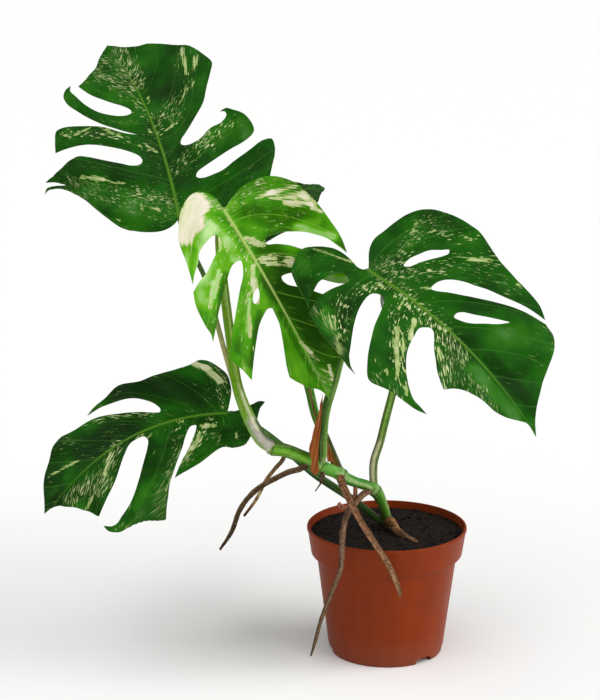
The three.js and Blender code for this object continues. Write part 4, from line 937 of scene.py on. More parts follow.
def leaf_material(name, look, roughness):
    """Living monstera leaf: a deep green waxy sheet, with cream flecks and dashes where cells
    lack their green, drawn out along the side veins, and a paler midrib."""
    material, tree, shader = start_material(name, {"IOR": 1.4, "Specular IOR Level": 0.08})
    flow = add_node(tree, "ShaderNodeUVMap", uv_map="Flow").outputs["UV"]
    vein_count = add_node(tree, "ShaderNodeSeparateXYZ", {0: flow}).outputs[0]
    # Side veins are near 30 mm apart, so flecks come out near 1 x 5 mm and dashes 2.4 x 12 mm.
    # Their runs differ by one cell, so that flecks don't line up with dashes.
    long_run = add_node(tree, "ShaderNodeMapping", {"Vector": flow, "Scale": DASH_RUN})
    short_run = add_node(tree, "ShaderNodeMapping", {"Vector": flow, "Scale": (31, 20, 1)})
    dashes = add_node(tree, "ShaderNodeTexNoise", {
        "Vector": long_run.outputs[0], "Scale": 0.42, "Detail": 3, "Roughness": 0.6})
    flecks = add_node(tree, "ShaderNodeTexNoise", {
        "Vector": short_run.outputs[0], "Scale": 1, "Detail": 1.5, "Roughness": 0.5})
    drift = add_node(tree, "ShaderNodeTexNoise", {
        "Vector": add_node(tree, "ShaderNodeTexCoord").outputs["Object"],
        "Scale": 32, "Detail": 2, "Roughness": 0.5})
    cream, specks, tone, rib, gap = (
        add_node(tree, "ShaderNodeAttribute", attribute_name=name).outputs["Fac"]
        for name in ("Cream", "Specks", "ToneAndPaintedLight", "Rib", "Gap"))

    # The body of the leaf runs from its deepest green to a pale sheen green. The tone strokes
    # paint shade towards the deep end and sheen towards the pale end, with some real lighter and
    # darker greens.
    lift = add_node(tree, "ShaderNodeMath", {0: tone, 1: 0.5, 2: drift.outputs["Fac"]},
                    operation="MULTIPLY_ADD")
    body = add_node(tree, "ShaderNodeValToRGB", {0: lift.outputs[0]}, stops=[
        (0.1, look["deep"]), (0.38, look["dark"]), (0.55, look["green"]), (0.75, look["light"]),
        (1, look["painted_sheen"])])

    # The cream grows in from its strokes, with a ragged edge of dashes.
    raised = add_node(tree, "ShaderNodeMath", {0: cream, 1: 0.28, 2: dashes.outputs["Fac"]},
                      operation="MULTIPLY_ADD")
    dashed = add_node(tree, "ShaderNodeMapRange", {
        0: raised.outputs[0], 1: 0.68, 2: 0.75}, interpolation_type="SMOOTHSTEP")
    lifted = add_node(tree, "ShaderNodeMath", {0: specks, 1: 0.15, 2: flecks.outputs["Fac"]},
                      operation="MULTIPLY_ADD")
    flecked = add_node(tree, "ShaderNodeMapRange", {
        0: lifted.outputs[0], 1: 0.695, 2: 0.745}, interpolation_type="SMOOTHSTEP")
    pale = add_node(tree, "ShaderNodeMath", {0: dashed.outputs[0], 1: flecked.outputs[0]},
                    operation="MAXIMUM")

    # Side veins are sunk lines; between them lie finer ones, a fifth as far apart.
    to_vein = add_node(tree, "ShaderNodeMath", {0: vein_count, 1: 0.5}, operation="PINGPONG")
    vein_mm = add_node(tree, "ShaderNodeMath", {0: to_vein.outputs[0], 1: gap},
                       operation="MULTIPLY")
    vein = add_node(tree, "ShaderNodeMapRange", {
        0: vein_mm.outputs[0], 1: 1.1, 2: 0.3, 3: 0, 4: 0.42}, interpolation_type="SMOOTHSTEP")
    fine = add_node(tree, "ShaderNodeMath", {0: vein_count, 1: 0.1}, operation="PINGPONG")

    # Half-green cells: soft stripes of light green that go with the dashes and the flecks.
    stripe_sum = add_node(tree, "ShaderNodeMath", {0: specks, 1: 0.05, 2: dashes.outputs["Fac"]},
                          operation="MULTIPLY_ADD")
    streak = add_node(tree, "ShaderNodeMapRange", {
        0: stripe_sum.outputs[0], 1: 0.53, 2: 0.72, 4: 0.5}, interpolation_type="SMOOTHSTEP")
    striped = add_node(tree, "ShaderNodeMix", {
        0: streak.outputs[0], 6: body.outputs[0], 7: look["half"]}, data_type="RGBA")
    veined = add_node(tree, "ShaderNodeMix", {
        0: vein.outputs[0], 6: striped.outputs[2], 7: look["half"]}, data_type="RGBA")

    # Cream tissue is whitest in the middle of a patch, and greenish in flecks and at its edges.
    blush = add_node(tree, "ShaderNodeMapRange", {
        0: drift.outputs["Fac"], 1: 0.4, 2: 0.6, 3: 0.65})
    in_patch = add_node(tree, "ShaderNodeMapRange", {0: raised.outputs[0], 1: 0.78, 2: 1})
    in_fleck = add_node(tree, "ShaderNodeMapRange", {0: lifted.outputs[0], 1: 0.72, 2: 0.84})
    whiter = add_node(tree, "ShaderNodeMath", {
        0: in_patch.outputs[0], 1: in_fleck.outputs[0]}, operation="MAXIMUM")
    whiteness = add_node(tree, "ShaderNodeMath", {
        0: whiter.outputs[0], 1: blush.outputs[0]}, operation="MULTIPLY")
    cream_tone = add_node(tree, "ShaderNodeMix", {
        0: whiteness.outputs[0], 6: look["fleck"], 7: look["cream"]}, data_type="RGBA")
    patched = add_node(tree, "ShaderNodeMix", {
        0: pale.outputs[0], 6: veined.outputs[2], 7: cream_tone.outputs[2]}, data_type="RGBA")
    ribbed = add_node(tree, "ShaderNodeMix", {
        0: rib, 6: patched.outputs[2], 7: look["rib"]}, data_type="RGBA")
    tree.links.new(ribbed.outputs[2], shader.inputs["Base Color"])

    # The wax film is thin and uneven, so the gloss is soft and low.
    wax = add_node(tree, "ShaderNodeMapRange", {
        0: drift.outputs["Fac"], 1: 0.3, 2: 0.7, 3: roughness - 0.05, 4: roughness + 0.07})
    tree.links.new(wax.outputs[0], shader.inputs["Roughness"])
    height = add_node(tree, "ShaderNodeMath", {
        0: fine.outputs[0], 1: 4.0, 2: flecks.outputs["Fac"]}, operation="MULTIPLY_ADD")
    bump = add_node(tree, "ShaderNodeBump", {
        "Height": height.outputs[0], "Strength": 0.25, "Distance": 0.0004})
    tree.links.new(bump.outputs[0], shader.inputs["Normal"])
    return material


def leaf_back_material(name, look):
    """Underside of a leaf: paler and matt, with no wax, and the cream showing through dimly."""
    material, tree, shader = start_material(name, {"Roughness": 0.55})
    flow = add_node(tree, "ShaderNodeUVMap", uv_map="Flow").outputs["UV"]
    run = add_node(tree, "ShaderNodeMapping", {"Vector": flow, "Scale": DASH_RUN})
    dashes = add_node(tree, "ShaderNodeTexNoise", {
        "Vector": run.outputs[0], "Scale": 0.42, "Detail": 3, "Roughness": 0.6})
    cream = add_node(tree, "ShaderNodeAttribute", attribute_name="Cream").outputs["Fac"]
    rib = add_node(tree, "ShaderNodeAttribute", attribute_name="Rib").outputs["Fac"]
    raised = add_node(tree, "ShaderNodeMath", {0: cream, 1: 0.28, 2: dashes.outputs["Fac"]},
                      operation="MULTIPLY_ADD")
    dashed = add_node(tree, "ShaderNodeMapRange", {
        0: raised.outputs[0], 1: 0.68, 2: 0.76, 4: 0.8}, interpolation_type="SMOOTHSTEP")
    tone = add_node(tree, "ShaderNodeMapRange", {0: dashes.outputs["Fac"], 1: 0.35, 2: 0.65})
    green = add_node(tree, "ShaderNodeMix", {
        0: tone.outputs[0], 6: look["back"], 7: look["back_light"]}, data_type="RGBA")
    patched = add_node(tree, "ShaderNodeMix", {
        0: dashed.outputs[0], 6: green.outputs[2], 7: look["fleck"]}, data_type="RGBA")
    ribbed = add_node(tree, "ShaderNodeMix", {
        0: rib, 6: patched.outputs[2], 7: look["rib"]}, data_type="RGBA")
    tree.links.new(ribbed.outputs[2], shader.inputs["Base Color"])
    bump = add_node(tree, "ShaderNodeBump", {
        "Height": dashes.outputs["Fac"], "Strength": 0.2, "Distance": 0.0005})
    tree.links.new(bump.outputs[0], shader.inputs["Normal"])
    return material


def leaf_rim_material(name, look):
    """The cut thickness of a leaf: a thin line, mottled every 4.5 mm or so."""
    material, tree, shader = start_material(name, {"Roughness": 0.5})
    where = add_node(tree, "ShaderNodeTexCoord").outputs["Object"]
    mottle = add_node(tree, "ShaderNodeTexNoise", {"Vector": where, "Scale": 220, "Detail": 2})
    tone = add_node(tree, "ShaderNodeMix", {
        0: mottle.outputs["Fac"], 6: look["rim"], 7: look["light"]}, data_type="RGBA")
    tree.links.new(tone.outputs[2], shader.inputs["Base Color"])
    return material


def stalk_material(name, roughness=0.42):
    """Fleshy green stem or stalk: smooth, with fine lengthwise stripes of paler tissue."""
    material, tree, shader = start_material(
        name, {"Roughness": roughness, "Specular IOR Level": 0.1})
    wrap = add_node(tree, "ShaderNodeUVMap", uv_map="Wrap").outputs["UV"]
    tint = add_node(tree, "ShaderNodeAttribute", attribute_name="Tint").outputs["Color"]
    # Stripes are near 1.5 mm wide on a stalk 25 mm round, and run on for 3 cm; mottle is 4 mm.
    drawn = add_node(tree, "ShaderNodeMapping", {"Vector": wrap, "Scale": (16, 3, 1)})
    stripes = add_node(tree, "ShaderNodeTexNoise", {
        "Vector": drawn.outputs[0], "Scale": 1, "Detail": 3, "Roughness": 0.6})
    where = add_node(tree, "ShaderNodeTexCoord").outputs["Object"]
    mottle = add_node(tree, "ShaderNodeTexNoise", {"Vector": where, "Scale": 260, "Detail": 2})
    amount = add_node(tree, "ShaderNodeMapRange", {
        0: stripes.outputs["Fac"], 1: 0.5, 2: 0.7, 4: 0.35}, interpolation_type="SMOOTHSTEP")
    striped = add_node(tree, "ShaderNodeMix", {
        0: amount.outputs[0], 6: tint, 7: linear("#b9c98c")}, data_type="RGBA")
    shade = add_node(tree, "ShaderNodeMapRange", {
        0: mottle.outputs["Fac"], 1: 0.3, 2: 0.7, 3: 0.82, 4: 1.1})
    shaded = add_node(tree, "ShaderNodeVectorMath", {
        0: striped.outputs[2], 1: shade.outputs[0]}, operation="MULTIPLY")
    tree.links.new(shaded.outputs[0], shader.inputs["Base Color"])
    bump = add_node(tree, "ShaderNodeBump", {
        "Height": stripes.outputs["Fac"], "Strength": 0.3, "Distance": 0.0005})
    tree.links.new(bump.outputs[0], shader.inputs["Normal"])
    return material


def root_material():
    """Aerial root: corky brown skin with cracks round it and lengthwise wrinkles."""
    material, tree, shader = start_material(
        "corky aerial root", {"Roughness": 0.78, "Specular IOR Level": 0.12})
    wrap = add_node(tree, "ShaderNodeUVMap", uv_map="Wrap").outputs["UV"]
    tint = add_node(tree, "ShaderNodeAttribute", attribute_name="Tint").outputs["Color"]
    # On a root 19 mm round, wrinkles are near 4 x 8 mm; cracks run round it every 2 to 3 mm.
    drawn = add_node(tree, "ShaderNodeMapping", {"Vector": wrap, "Scale": (5, 12, 1)})
    wrinkles = add_node(tree, "ShaderNodeTexNoise", {
        "Vector": drawn.outputs[0], "Scale": 1, "Detail": 4, "Roughness": 0.65})
    across = add_node(tree, "ShaderNodeMapping", {"Vector": wrap, "Scale": (3, 42, 1)})
    cracks = add_node(tree, "ShaderNodeTexNoise", {
        "Vector": across.outputs[0], "Scale": 1, "Detail": 2, "Roughness": 0.6})
    where = add_node(tree, "ShaderNodeTexCoord").outputs["Object"]
    scurf = add_node(tree, "ShaderNodeTexNoise", {
        "Vector": where, "Scale": 420, "Detail": 4, "Roughness": 0.7})
    shade = add_node(tree, "ShaderNodeMapRange", {
        0: wrinkles.outputs["Fac"], 1: 0.3, 2: 0.7, 3: 0.4, 4: 1.6})
    cracked = add_node(tree, "ShaderNodeMapRange", {
        0: cracks.outputs["Fac"], 1: 0.36, 2: 0.44, 3: 0.3}, interpolation_type="SMOOTHSTEP")
    depth = add_node(tree, "ShaderNodeMath", {
        0: shade.outputs[0], 1: cracked.outputs[0]}, operation="MULTIPLY")
    shaded = add_node(tree, "ShaderNodeVectorMath", {
        0: tint, 1: depth.outputs[0]}, operation="MULTIPLY")
    dust = add_node(tree, "ShaderNodeMapRange", {
        0: scurf.outputs["Fac"], 1: 0.52, 2: 0.68, 4: 0.4}, interpolation_type="SMOOTHSTEP")
    dusted = add_node(tree, "ShaderNodeMix", {
        0: dust.outputs[0], 6: shaded.outputs[0], 7: linear("#a98a68")}, data_type="RGBA")
    tree.links.new(dusted.outputs[2], shader.inputs["Base Color"])
    relief = add_node(tree, "ShaderNodeMath", {
        0: wrinkles.outputs["Fac"], 1: scurf.outputs["Fac"]}, operation="ADD")
    bump = add_node(tree, "ShaderNodeBump", {
        "Height": relief.outputs[0], "Strength": 0.6, "Distance": 0.0008})
    tree.links.new(bump.outputs[0], shader.inputs["Normal"])
    return material


def sheath_material():
    """Dried leaf sheath: rust-brown paper with darker fibres along it."""
    material, tree, shader = start_material(
        "dry sheath paper", {"Roughness": 0.7, "Specular IOR Level": 0.2})
    flow = add_node(tree, "ShaderNodeUVMap", uv_map="Flow").outputs["UV"]
    # Fibres are near 1 mm wide and 3 cm long.
    drawn = add_node(tree, "ShaderNodeMapping", {"Vector": flow, "Scale": (90, 3, 1)})
    fibres = add_node(tree, "ShaderNodeTexNoise", {
        "Vector": drawn.outputs[0], "Scale": 1, "Detail": 4, "Roughness": 0.6})
    tone = add_node(tree, "ShaderNodeValToRGB", {0: fibres.outputs["Fac"]}, stops=[
        (0.32, linear("#44200e")), (0.45, linear("#8a4618")), (0.56, linear("#b06026")),
        (0.7, linear("#dca06a"))])
    tree.links.new(tone.outputs[0], shader.inputs["Base Color"])
    bump = add_node(tree, "ShaderNodeBump", {
        "Height": fibres.outputs["Fac"], "Strength": 0.6, "Distance": 0.0006})
    tree.links.new(bump.outputs[0], shader.inputs["Normal"])
    return material


def pot_material(colour):
    """Injection-moulded polypropylene, terracotta coloured: satin, with faint flow marks down the
    wall and a little dust near the foot."""
    material, tree, shader = start_material(
        "moulded terracotta polypropylene", {"IOR": 1.49, "Specular IOR Level": 0.1})
    where = add_node(tree, "ShaderNodeTexCoord").outputs["Object"]
    height = add_node(tree, "ShaderNodeSeparateXYZ", {0: where}).outputs[2]
    # Flow marks are near 11 mm wide, clouds in the gloss 45 mm, and grains of dust 1.4 mm.
    drawn = add_node(tree, "ShaderNodeMapping", {"Vector": where, "Scale": (1, 1, 0.06)})
    marks = add_node(tree, "ShaderNodeTexNoise", {
        "Vector": drawn.outputs[0], "Scale": 90, "Detail": 3, "Roughness": 0.5})
    cloud = add_node(tree, "ShaderNodeTexNoise", {
        "Vector": where, "Scale": 22, "Detail": 3, "Roughness": 0.6})
    grit = add_node(tree, "ShaderNodeTexNoise", {
        "Vector": where, "Scale": 700, "Detail": 3, "Roughness": 0.7})
    both = add_node(tree, "ShaderNodeMath", {
        0: marks.outputs["Fac"], 1: cloud.outputs["Fac"]}, operation="ADD")
    shade = add_node(tree, "ShaderNodeMapRange", {
        0: both.outputs[0], 1: 0.7, 2: 1.3, 3: 0.9, 4: 1.1})
    tinted = add_node(tree, "ShaderNodeVectorMath", {
        0: tuple(colour)[:3], 1: shade.outputs[0]}, operation="MULTIPLY")
    low = add_node(tree, "ShaderNodeMapRange", {0: height, 1: 0.03, 2: 0.0, 4: 0.25})
    dust = add_node(tree, "ShaderNodeMath", {
        0: low.outputs[0], 1: grit.outputs["Fac"]}, operation="MULTIPLY")
    dusty = add_node(tree, "ShaderNodeMix", {
        0: dust.outputs[0], 6: tinted.outputs[0], 7: linear("#8c7a6c")}, data_type="RGBA")
    tree.links.new(dusty.outputs[2], shader.inputs["Base Color"])
    sheen = add_node(tree, "ShaderNodeMapRange", {
        0: cloud.outputs["Fac"], 1: 0.3, 2: 0.7, 3: 0.4, 4: 0.52})
    tree.links.new(sheen.outputs[0], shader.inputs["Roughness"])
    bump = add_node(tree, "ShaderNodeBump", {
        "Height": grit.outputs["Fac"], "Strength": 0.08, "Distance": 0.0002})
    tree.links.new(bump.outputs[0], shader.inputs["Normal"])
    return material


def peat_material(name, lighter):
    """Damp peat mix: nearly black and matt, with reddish-brown crumbs in it."""
    material, tree, shader = start_material(name, {"Roughness": 0.9, "Specular IOR Level": 0.2})
    where = add_node(tree, "ShaderNodeTexCoord").outputs["Object"]
    # Crumbs are near 3 mm across, and patches of loam near 4 mm.
    crumbs = add_node(tree, "ShaderNodeTexVoronoi", {"Vector": where, "Scale": 330})
    loam = add_node(tree, "ShaderNodeTexNoise", {
        "Vector": where, "Scale": 240, "Detail": 6, "Roughness": 0.75})
    tone = add_node(tree, "ShaderNodeValToRGB", {0: loam.outputs["Fac"]}, stops=[
        (0.35, linear("#040302")), (0.5, linear("#110c08")), (0.6, linear("#2a1a0e")),
        (0.75, linear("#5a3922" if lighter else "#40260f"))])
    tree.links.new(tone.outputs[0], shader.inputs["Base Color"])
    rough = add_node(tree, "ShaderNodeMath", {
        0: crumbs.outputs["Distance"], 1: loam.outputs["Fac"]}, operation="ADD")
    bump = add_node(tree, "ShaderNodeBump", {
        "Height": rough.outputs[0], "Strength": 0.9, "Distance": 0.0015})
    tree.links.new(bump.outputs[0], shader.inputs["Normal"])
    return material


# ---------------------------------------------------------------- what a user may change


class MONSTERA_PG_pot(PropertyGroup):
    height: FloatProperty(
        name="Height", description="Pot height", default=0.123, min=0.06, unit="LENGTH")
    rim_radius: FloatProperty(
        name="Lip radius", description="Outer radius of the lip", default=0.0756, unit="LENGTH")
    wall: FloatProperty(
        name="Wall", description="Thickness of the moulded wall", default=0.0016, unit="LENGTH")
    notch_width: FloatProperty(
        name="Notch width", description="Width of a notch in the foot ring", default=0.023,
        unit="LENGTH")
    segments: IntProperty(
        name="Segments", description="Steps in a full turn", default=160, min=32)
    colour: FloatVectorProperty(
        name="Colour", description="Colour of the plastic", subtype="COLOR", size=4,
        default=linear("#80300c"))


class MONSTERA_PG_soil(PropertyGroup):
    level: FloatProperty(
        name="Level", description="Height of the soil at the wall", default=0.116, unit="LENGTH")
    lumps: FloatProperty(
        name="Lumps", description="Height of the lumps", default=0.0022, unit="LENGTH")
    crumbs: IntProperty(
        name="Crumbs", description="Loose crumbs and bark on the soil", default=420, min=0)


class MONSTERA_PG_stem(PropertyGroup):
    sides: IntProperty(
        name="Sides", description="Sides of a stem or stalk", default=22, min=8)
    channel: FloatProperty(
        name="Channel", description="Depth of the channel along a leaf stalk, of its radius",
        default=0.2, subtype="FACTOR", min=0, max=0.6)


class MONSTERA_PG_blade(PropertyGroup):
    thickness: FloatProperty(
        name="Thickness", description="Thickness of a blade", default=0.0007, unit="LENGTH")
    rib_depth: FloatProperty(
        name="Rib depth", description="How far the midrib stands out at the back",
        default=0.0026, unit="LENGTH")
    cell: FloatProperty(
        name="Cell", description="Size of the cells of a blade", default=0.0017, unit="LENGTH")
    green: FloatVectorProperty(
        name="Green", description="Main green of the old leaves", subtype="COLOR", size=4,
        default=linear("#155204"))
    dark: FloatVectorProperty(
        name="Dark green", description="Deepest green of the old leaves", subtype="COLOR",
        size=4, default=linear("#123e04"))
    young: FloatVectorProperty(
        name="Young green", description="Main green of the youngest leaf", subtype="COLOR",
        size=4, default=linear("#3e8a06"))
    cream: FloatVectorProperty(
        name="Cream", description="Colour of the old leaves where they have no green",
        subtype="COLOR", size=4, default=linear("#d6d2b0"))


class MONSTERA_PG_studio(PropertyGroup):
    key: FloatProperty(
        name="Key light", description="Strength of the broad light from the right", default=2.4,
        min=0)
    top: FloatProperty(
        name="Top light", description="Strength of the soft light from above", default=1.2, min=0)
    surround: FloatProperty(
        name="Surround", description="Strength of the pale surroundings", default=0.35, min=0)


def old_leaf_look(settings):
    """Colours of a leaf that has hardened: deep green, with greenish cream flecks."""
    return {
        "deep": linear("#0c2a04"), "dark": settings.dark, "green": settings.green,
        "light": linear("#28660c"), "painted_sheen": linear("#4e7c46"), "half": linear("#3a6e1e"),
        "fleck": linear("#91a95e"), "cream": settings.cream, "rib": linear("#507e20"),
        "back": linear("#3a5a28"), "back_light": linear("#587a40"), "rim": linear("#2e3416"),
    }


def young_leaf_look(settings):
    """Colours of the youngest leaf: light yellow-green, with cream patches."""
    return {
        "deep": linear("#1c4400"), "dark": linear("#2c6402"), "green": settings.young,
        "light": linear("#5fa614"), "painted_sheen": linear("#b0d48c"), "half": linear("#7ab034"),
        "fleck": linear("#b0bf7a"), "cream": linear("#e8dccf"), "rib": linear("#a3bd62"),
        "back": linear("#4c7a1a"), "back_light": linear("#6c963a"), "rim": linear("#8ca25a"),
    }


# ---------------------------------------------------------------- pieces


class MONSTERA_OT_pot(Operator):
    """Turn the nursery pot and cut its foot notches and drain holes"""
    bl_idname = "monstera.pot"
    bl_label = "Pot"

    def execute(self, context):
        pot = context.scene.monstera_pot
        top, lip, wall = pot.height / MM, pot.rim_radius / MM, pot.wall / MM
        # (radius, height) from the middle of the underside out over the foot ring and up to the
        # lip, and then down the inside to the middle of the floor.
        outside = [(0, 0), (14, 0), (16, 6), (46, 6), (46, 0), (53.2, 0), (54, 3), (55, 7),
                   (66, top - 30.6), (71.5, top - 26), (74.8, top - 4), (lip, top - 3.2),
                   (lip, top - 0.8), (74.8, top)]
        inside = [(75 - wall, top), (71.5 - wall, top - 24.4), (66 - wall, top - 29),
                  (53.4, 10), (50.4, 8), (0, 8)]
        bm = bmesh.new()
        line = [bm.verts.new((r, 0, z)) for r, z in outside + inside]
        for pair in zip(line, line[1:]):
            bm.edges.new(pair)
        bmesh.ops.bevel(bm, geom=line[1:-1], offset=0.5, offset_type="OFFSET", affect="VERTICES",
                        segments=3, profile=0.5, material=-1)
        bmesh.ops.spin(bm, geom=bm.verts[:] + bm.edges[:], cent=(0, 0, 0), axis=(0, 0, 1),
                       angle=2 * math.pi, steps=pot.segments, use_merge=True)
        bmesh.ops.remove_doubles(bm, verts=bm.verts, dist=0.01)
        bmesh.ops.recalc_face_normals(bm, faces=bm.faces)
        cut_away(bm, self.cutters(pot))
        smooth(bm, math.radians(35))
        finish_piece(bm, "nursery_pot", ["pot"], [pot_material(pot.colour)])
        return {"FINISHED"}

    def cutters(self, pot):
        """Three blocks through the foot ring and eight rods through the floor."""
        bm = bmesh.new()
        first_notch = 310  # degrees round from the right: it shows at the front
        for i in range(3):
            turn = Matrix.Rotation(math.radians(first_notch + 120 * i), 4, "Z")
            block = bmesh.ops.create_cube(bm, size=1, matrix=turn @ Matrix.Translation(
                (50.5, 0, 0)) @ Matrix.Diagonal((11, pot.notch_width / MM, 11, 1)))["verts"]
            narrower = 17 / 23  # a notch is 23 mm wide at the foot and 17 at its top
            bmesh.ops.scale(bm, vec=(1, narrower, 1), space=turn.inverted(),
                            verts=[v for v in block if v.co.z > 1])
            upper = [e for e in edges_of(block) if min(v.co.z for v in e.verts) > 1]
            bmesh.ops.bevel(bm, geom=upper, offset=0.8, offset_type="OFFSET",
                            affect="EDGES", segments=2, profile=0.5, material=-1)
        for i in range(8):
            turn = Matrix.Rotation(math.radians(45 * i), 4, "Z")
            bmesh.ops.create_cone(bm, cap_ends=True, segments=32, radius1=4, radius2=4, depth=24,
                                  matrix=turn @ Matrix.Translation((32, 0, 0)))
        return bm


def cut_away(bm, cutters):
    """Takes the cutters out of the mesh, and leaves one closed skin."""
    objects = []
    for label, mesh_of in (("whole", bm), ("cutters", cutters)):
        mesh = bpy.data.meshes.new(label)
        mesh_of.to_mesh(mesh)
        objects.append(bpy.data.objects.new(label, mesh))
        bpy.context.scene.collection.objects.link(objects[-1])
    cutters.free()
    whole, tool = objects
    cut = whole.modifiers.new("cut", "BOOLEAN")
    cut.operation, cut.solver, cut.object = "DIFFERENCE", "EXACT", tool
    bpy.context.view_layer.update()
    done = whole.evaluated_get(bpy.context.evaluated_depsgraph_get()).to_mesh()
    bm.clear()
    bm.from_mesh(done)
    meshes = [whole.data, tool.data]
    for thing in objects:
        bpy.data.objects.remove(thing)
    for mesh in meshes:
        bpy.data.meshes.remove(mesh)


class MONSTERA_OT_soil(Operator):
    """Fill the pot with peat mix and scatter crumbs on it"""
    bl_idname = "monstera.soil"
    bl_label = "Soil"

    def execute(self, context):
        soil = context.scene.monstera_soil
        level, lumps = soil.level / MM, soil.lumps / MM
        brim, cell = 72.4, 1.9
        bm = bmesh.new()
        bmesh.ops.create_circle(bm, cap_ends=True, radius=brim, segments=120)
        cuts = int(brim / cell)
        for i in range(-cuts, cuts + 1):
            for facing in ((1, 0, 0), (0, 1, 0)):
                bmesh.ops.bisect_plane(bm, geom=bm.verts[:] + bm.edges[:] + bm.faces[:],
                                       dist=CUT_SLACK, plane_no=facing,
                                       plane_co=Vector(facing) * (cell * i + 0.3))
        for vert in bm.verts:
            vert.co.z = level + self.rise(vert.co, brim, lumps)
        rim = [e for e in bm.edges if e.is_boundary]
        # Below the surface it follows the inside of the wall down to the floor.
        for radius, height in ((brim, level - 6), (69.4, 98.6), (63.9, 94), (52.9, 10.2),
                               (49.9, 8.4)):
            grown = bmesh.ops.extrude_edge_only(bm, edges=rim)["geom"]
            for vert in (v for v in grown if isinstance(v, bmesh.types.BMVert)):
                out = Vector((vert.co.x, vert.co.y, 0)).normalized() * radius
                vert.co = (out.x, out.y, height)
            rim = [e for e in grown if isinstance(e, bmesh.types.BMEdge) and e.is_boundary]
        bmesh.ops.holes_fill(bm, edges=rim, sides=0)
        bmesh.ops.recalc_face_normals(bm, faces=bm.faces)
        smooth(bm, math.radians(80))
        finish_piece(bm, "peat", ["soil"], [peat_material("damp peat", False)])

        loose = random.Random(11)
        bm = bmesh.new()
        for _ in range(soil.crumbs):
            reach, turn = brim * math.sqrt(loose.random()) * 0.97, loose.uniform(0, 2 * math.pi)
            spot = Vector((reach * math.cos(turn), reach * math.sin(turn), 0))
            size = loose.uniform(0.5, 1.3) * (2 if loose.random() < 0.12 else 1)
            lie = Matrix.Translation((spot.x, spot.y, level + self.rise(spot, brim, lumps)
                                      + 0.2 * size))
            spin = Quaternion([loose.gauss(0, 1) for _ in range(4)]).normalized()
            squeeze = Matrix.Diagonal((loose.uniform(0.7, 1.8), 1, loose.uniform(0.5, 0.9), 1))
            crumb = bmesh.ops.create_icosphere(
                bm, subdivisions=1, radius=size,
                matrix=lie @ spin.to_matrix().to_4x4() @ squeeze)["verts"]
            for vert in crumb:
                vert.co += Vector([loose.uniform(-0.25, 0.25) * size for _ in range(3)])
        finish_piece(bm, "peat_crumbs", [], [peat_material("bark and peat crumbs", True)])
        return {"FINISHED"}

    def rise(self, place, brim, lumps):
        """Height of the soil over its level at the wall."""
        flat = Vector((place.x, place.y, 0))
        mound = 2.2 * (1 - (flat.length / brim) ** 2)
        edge = 1 - 0.6 * ease(brim - 3, brim, flat.length)
        rough = 0.55 * grain(flat, 16) + 0.3 * grain(flat, 6, 2) + 0.25 * grain(flat, 2.6, 5)
        return mound + lumps * rough * edge


class MONSTERA_OT_stem(Operator):
    """Grow the creeping stem with its ring scars"""
    bl_idname = "monstera.stem"
    bl_label = "Stem"

    def execute(self, context):
        lengths = route_lengths(STEM)
        scars = [lengths[i] for i in STEM_NODES]

        def shape(reached, turn, place, angle):
            form = 1 + 0.03 * grain(place, 7, 4) + 0.02 * math.sin(3 * turn + 0.03 * reached)
            knobbly = hump(reached - lengths[KNOBBLY_NODE] - 2, 11)
            form += knobbly * (0.07 * grain(place, 4, 8) + 0.05)
            for scar in scars:
                away = reached - scar
                form += 0.1 * hump(away - 1.2, 0.9) - 0.1 * hump(away, 0.7) \
                    + 0.08 * hump(away + 1.5, 1.1) + 0.03 * hump(away + 4, 0.8)
            return form

        sides = context.scene.monstera_stem.sides + 6
        bm, spot, tint, total = grow_tube(STEM, sides, pitch=0.9, shape=shape)
        paint_tube(spot, tint, total, "stem")
        for vert, (_, reached, _) in spot.items():
            for scar in scars:
                dark = 0.75 * hump(reached - scar, 0.8)
                pale = 0.35 * hump(reached - scar - 2.2, 1.3)
                old = Vector(vert[tint])
                ring = old.lerp(Vector(linear("#3a2f16")), dark)
                vert[tint] = ring.lerp(Vector(linear("#c5cf98")), pale)
        finish_piece(bm, "creeping_stem", ["stem"], [stalk_material("fleshy stem", 0.45)])
        return {"FINISHED"}


class MONSTERA_OT_stalks(Operator):
    """Grow the six channelled leaf stalks"""
    bl_idname = "monstera.stalks"
    bl_label = "Leaf stalks"

    def execute(self, context):
        stem = context.scene.monstera_stem
        green, pale = stalk_material("fleshy leaf stalk"), stalk_material("pale young stalk")
        for key, route in STALKS.items():
            name = f"petiole_{key}"

            # The channel has a lip on each side, 48 degrees round from its middle.
            def shape(reached, turn, place, angle):
                begun = ease(0, 14, reached)
                channel = stem.channel * hump(turned_by(angle, CHANNELS[key]), 26) * begun
                lips = 0.5 * stem.channel * hump(turned_by(angle, CHANNELS[key]) - 48, 16) * begun
                strand = 0.02 * math.sin(7 * turn) * begun
                return 1 + strand + lips - channel + 0.015 * grain(place, 9, 6)

            bm, spot, tint, total = grow_tube(
                self.tucked(route, LEAVES[key]), stem.sides, pitch=1.8, shape=shape)
            paint_tube(spot, tint, total, name)
            young = key == YOUNGEST
            finish_piece(bm, f"stalk_{key}", [name],
                         [pale if young else green])
        return {"FINISHED"}

    def tucked(self, route, leaf):
        """Leads the end of the stalk in under the blade, where it runs into the midrib."""
        base, along, _, up, _ = blade_axes(leaf)
        x, y, z, radius = route[-2]
        near = Vector((x, y, z)) - up * 0.5 * radius
        end, root = base - up * (0.9 * radius), base + along * 6 - up * 2.4
        return route[:-2] + [(*near, radius), (*end, 0.85 * radius), (*root, 1.6)]


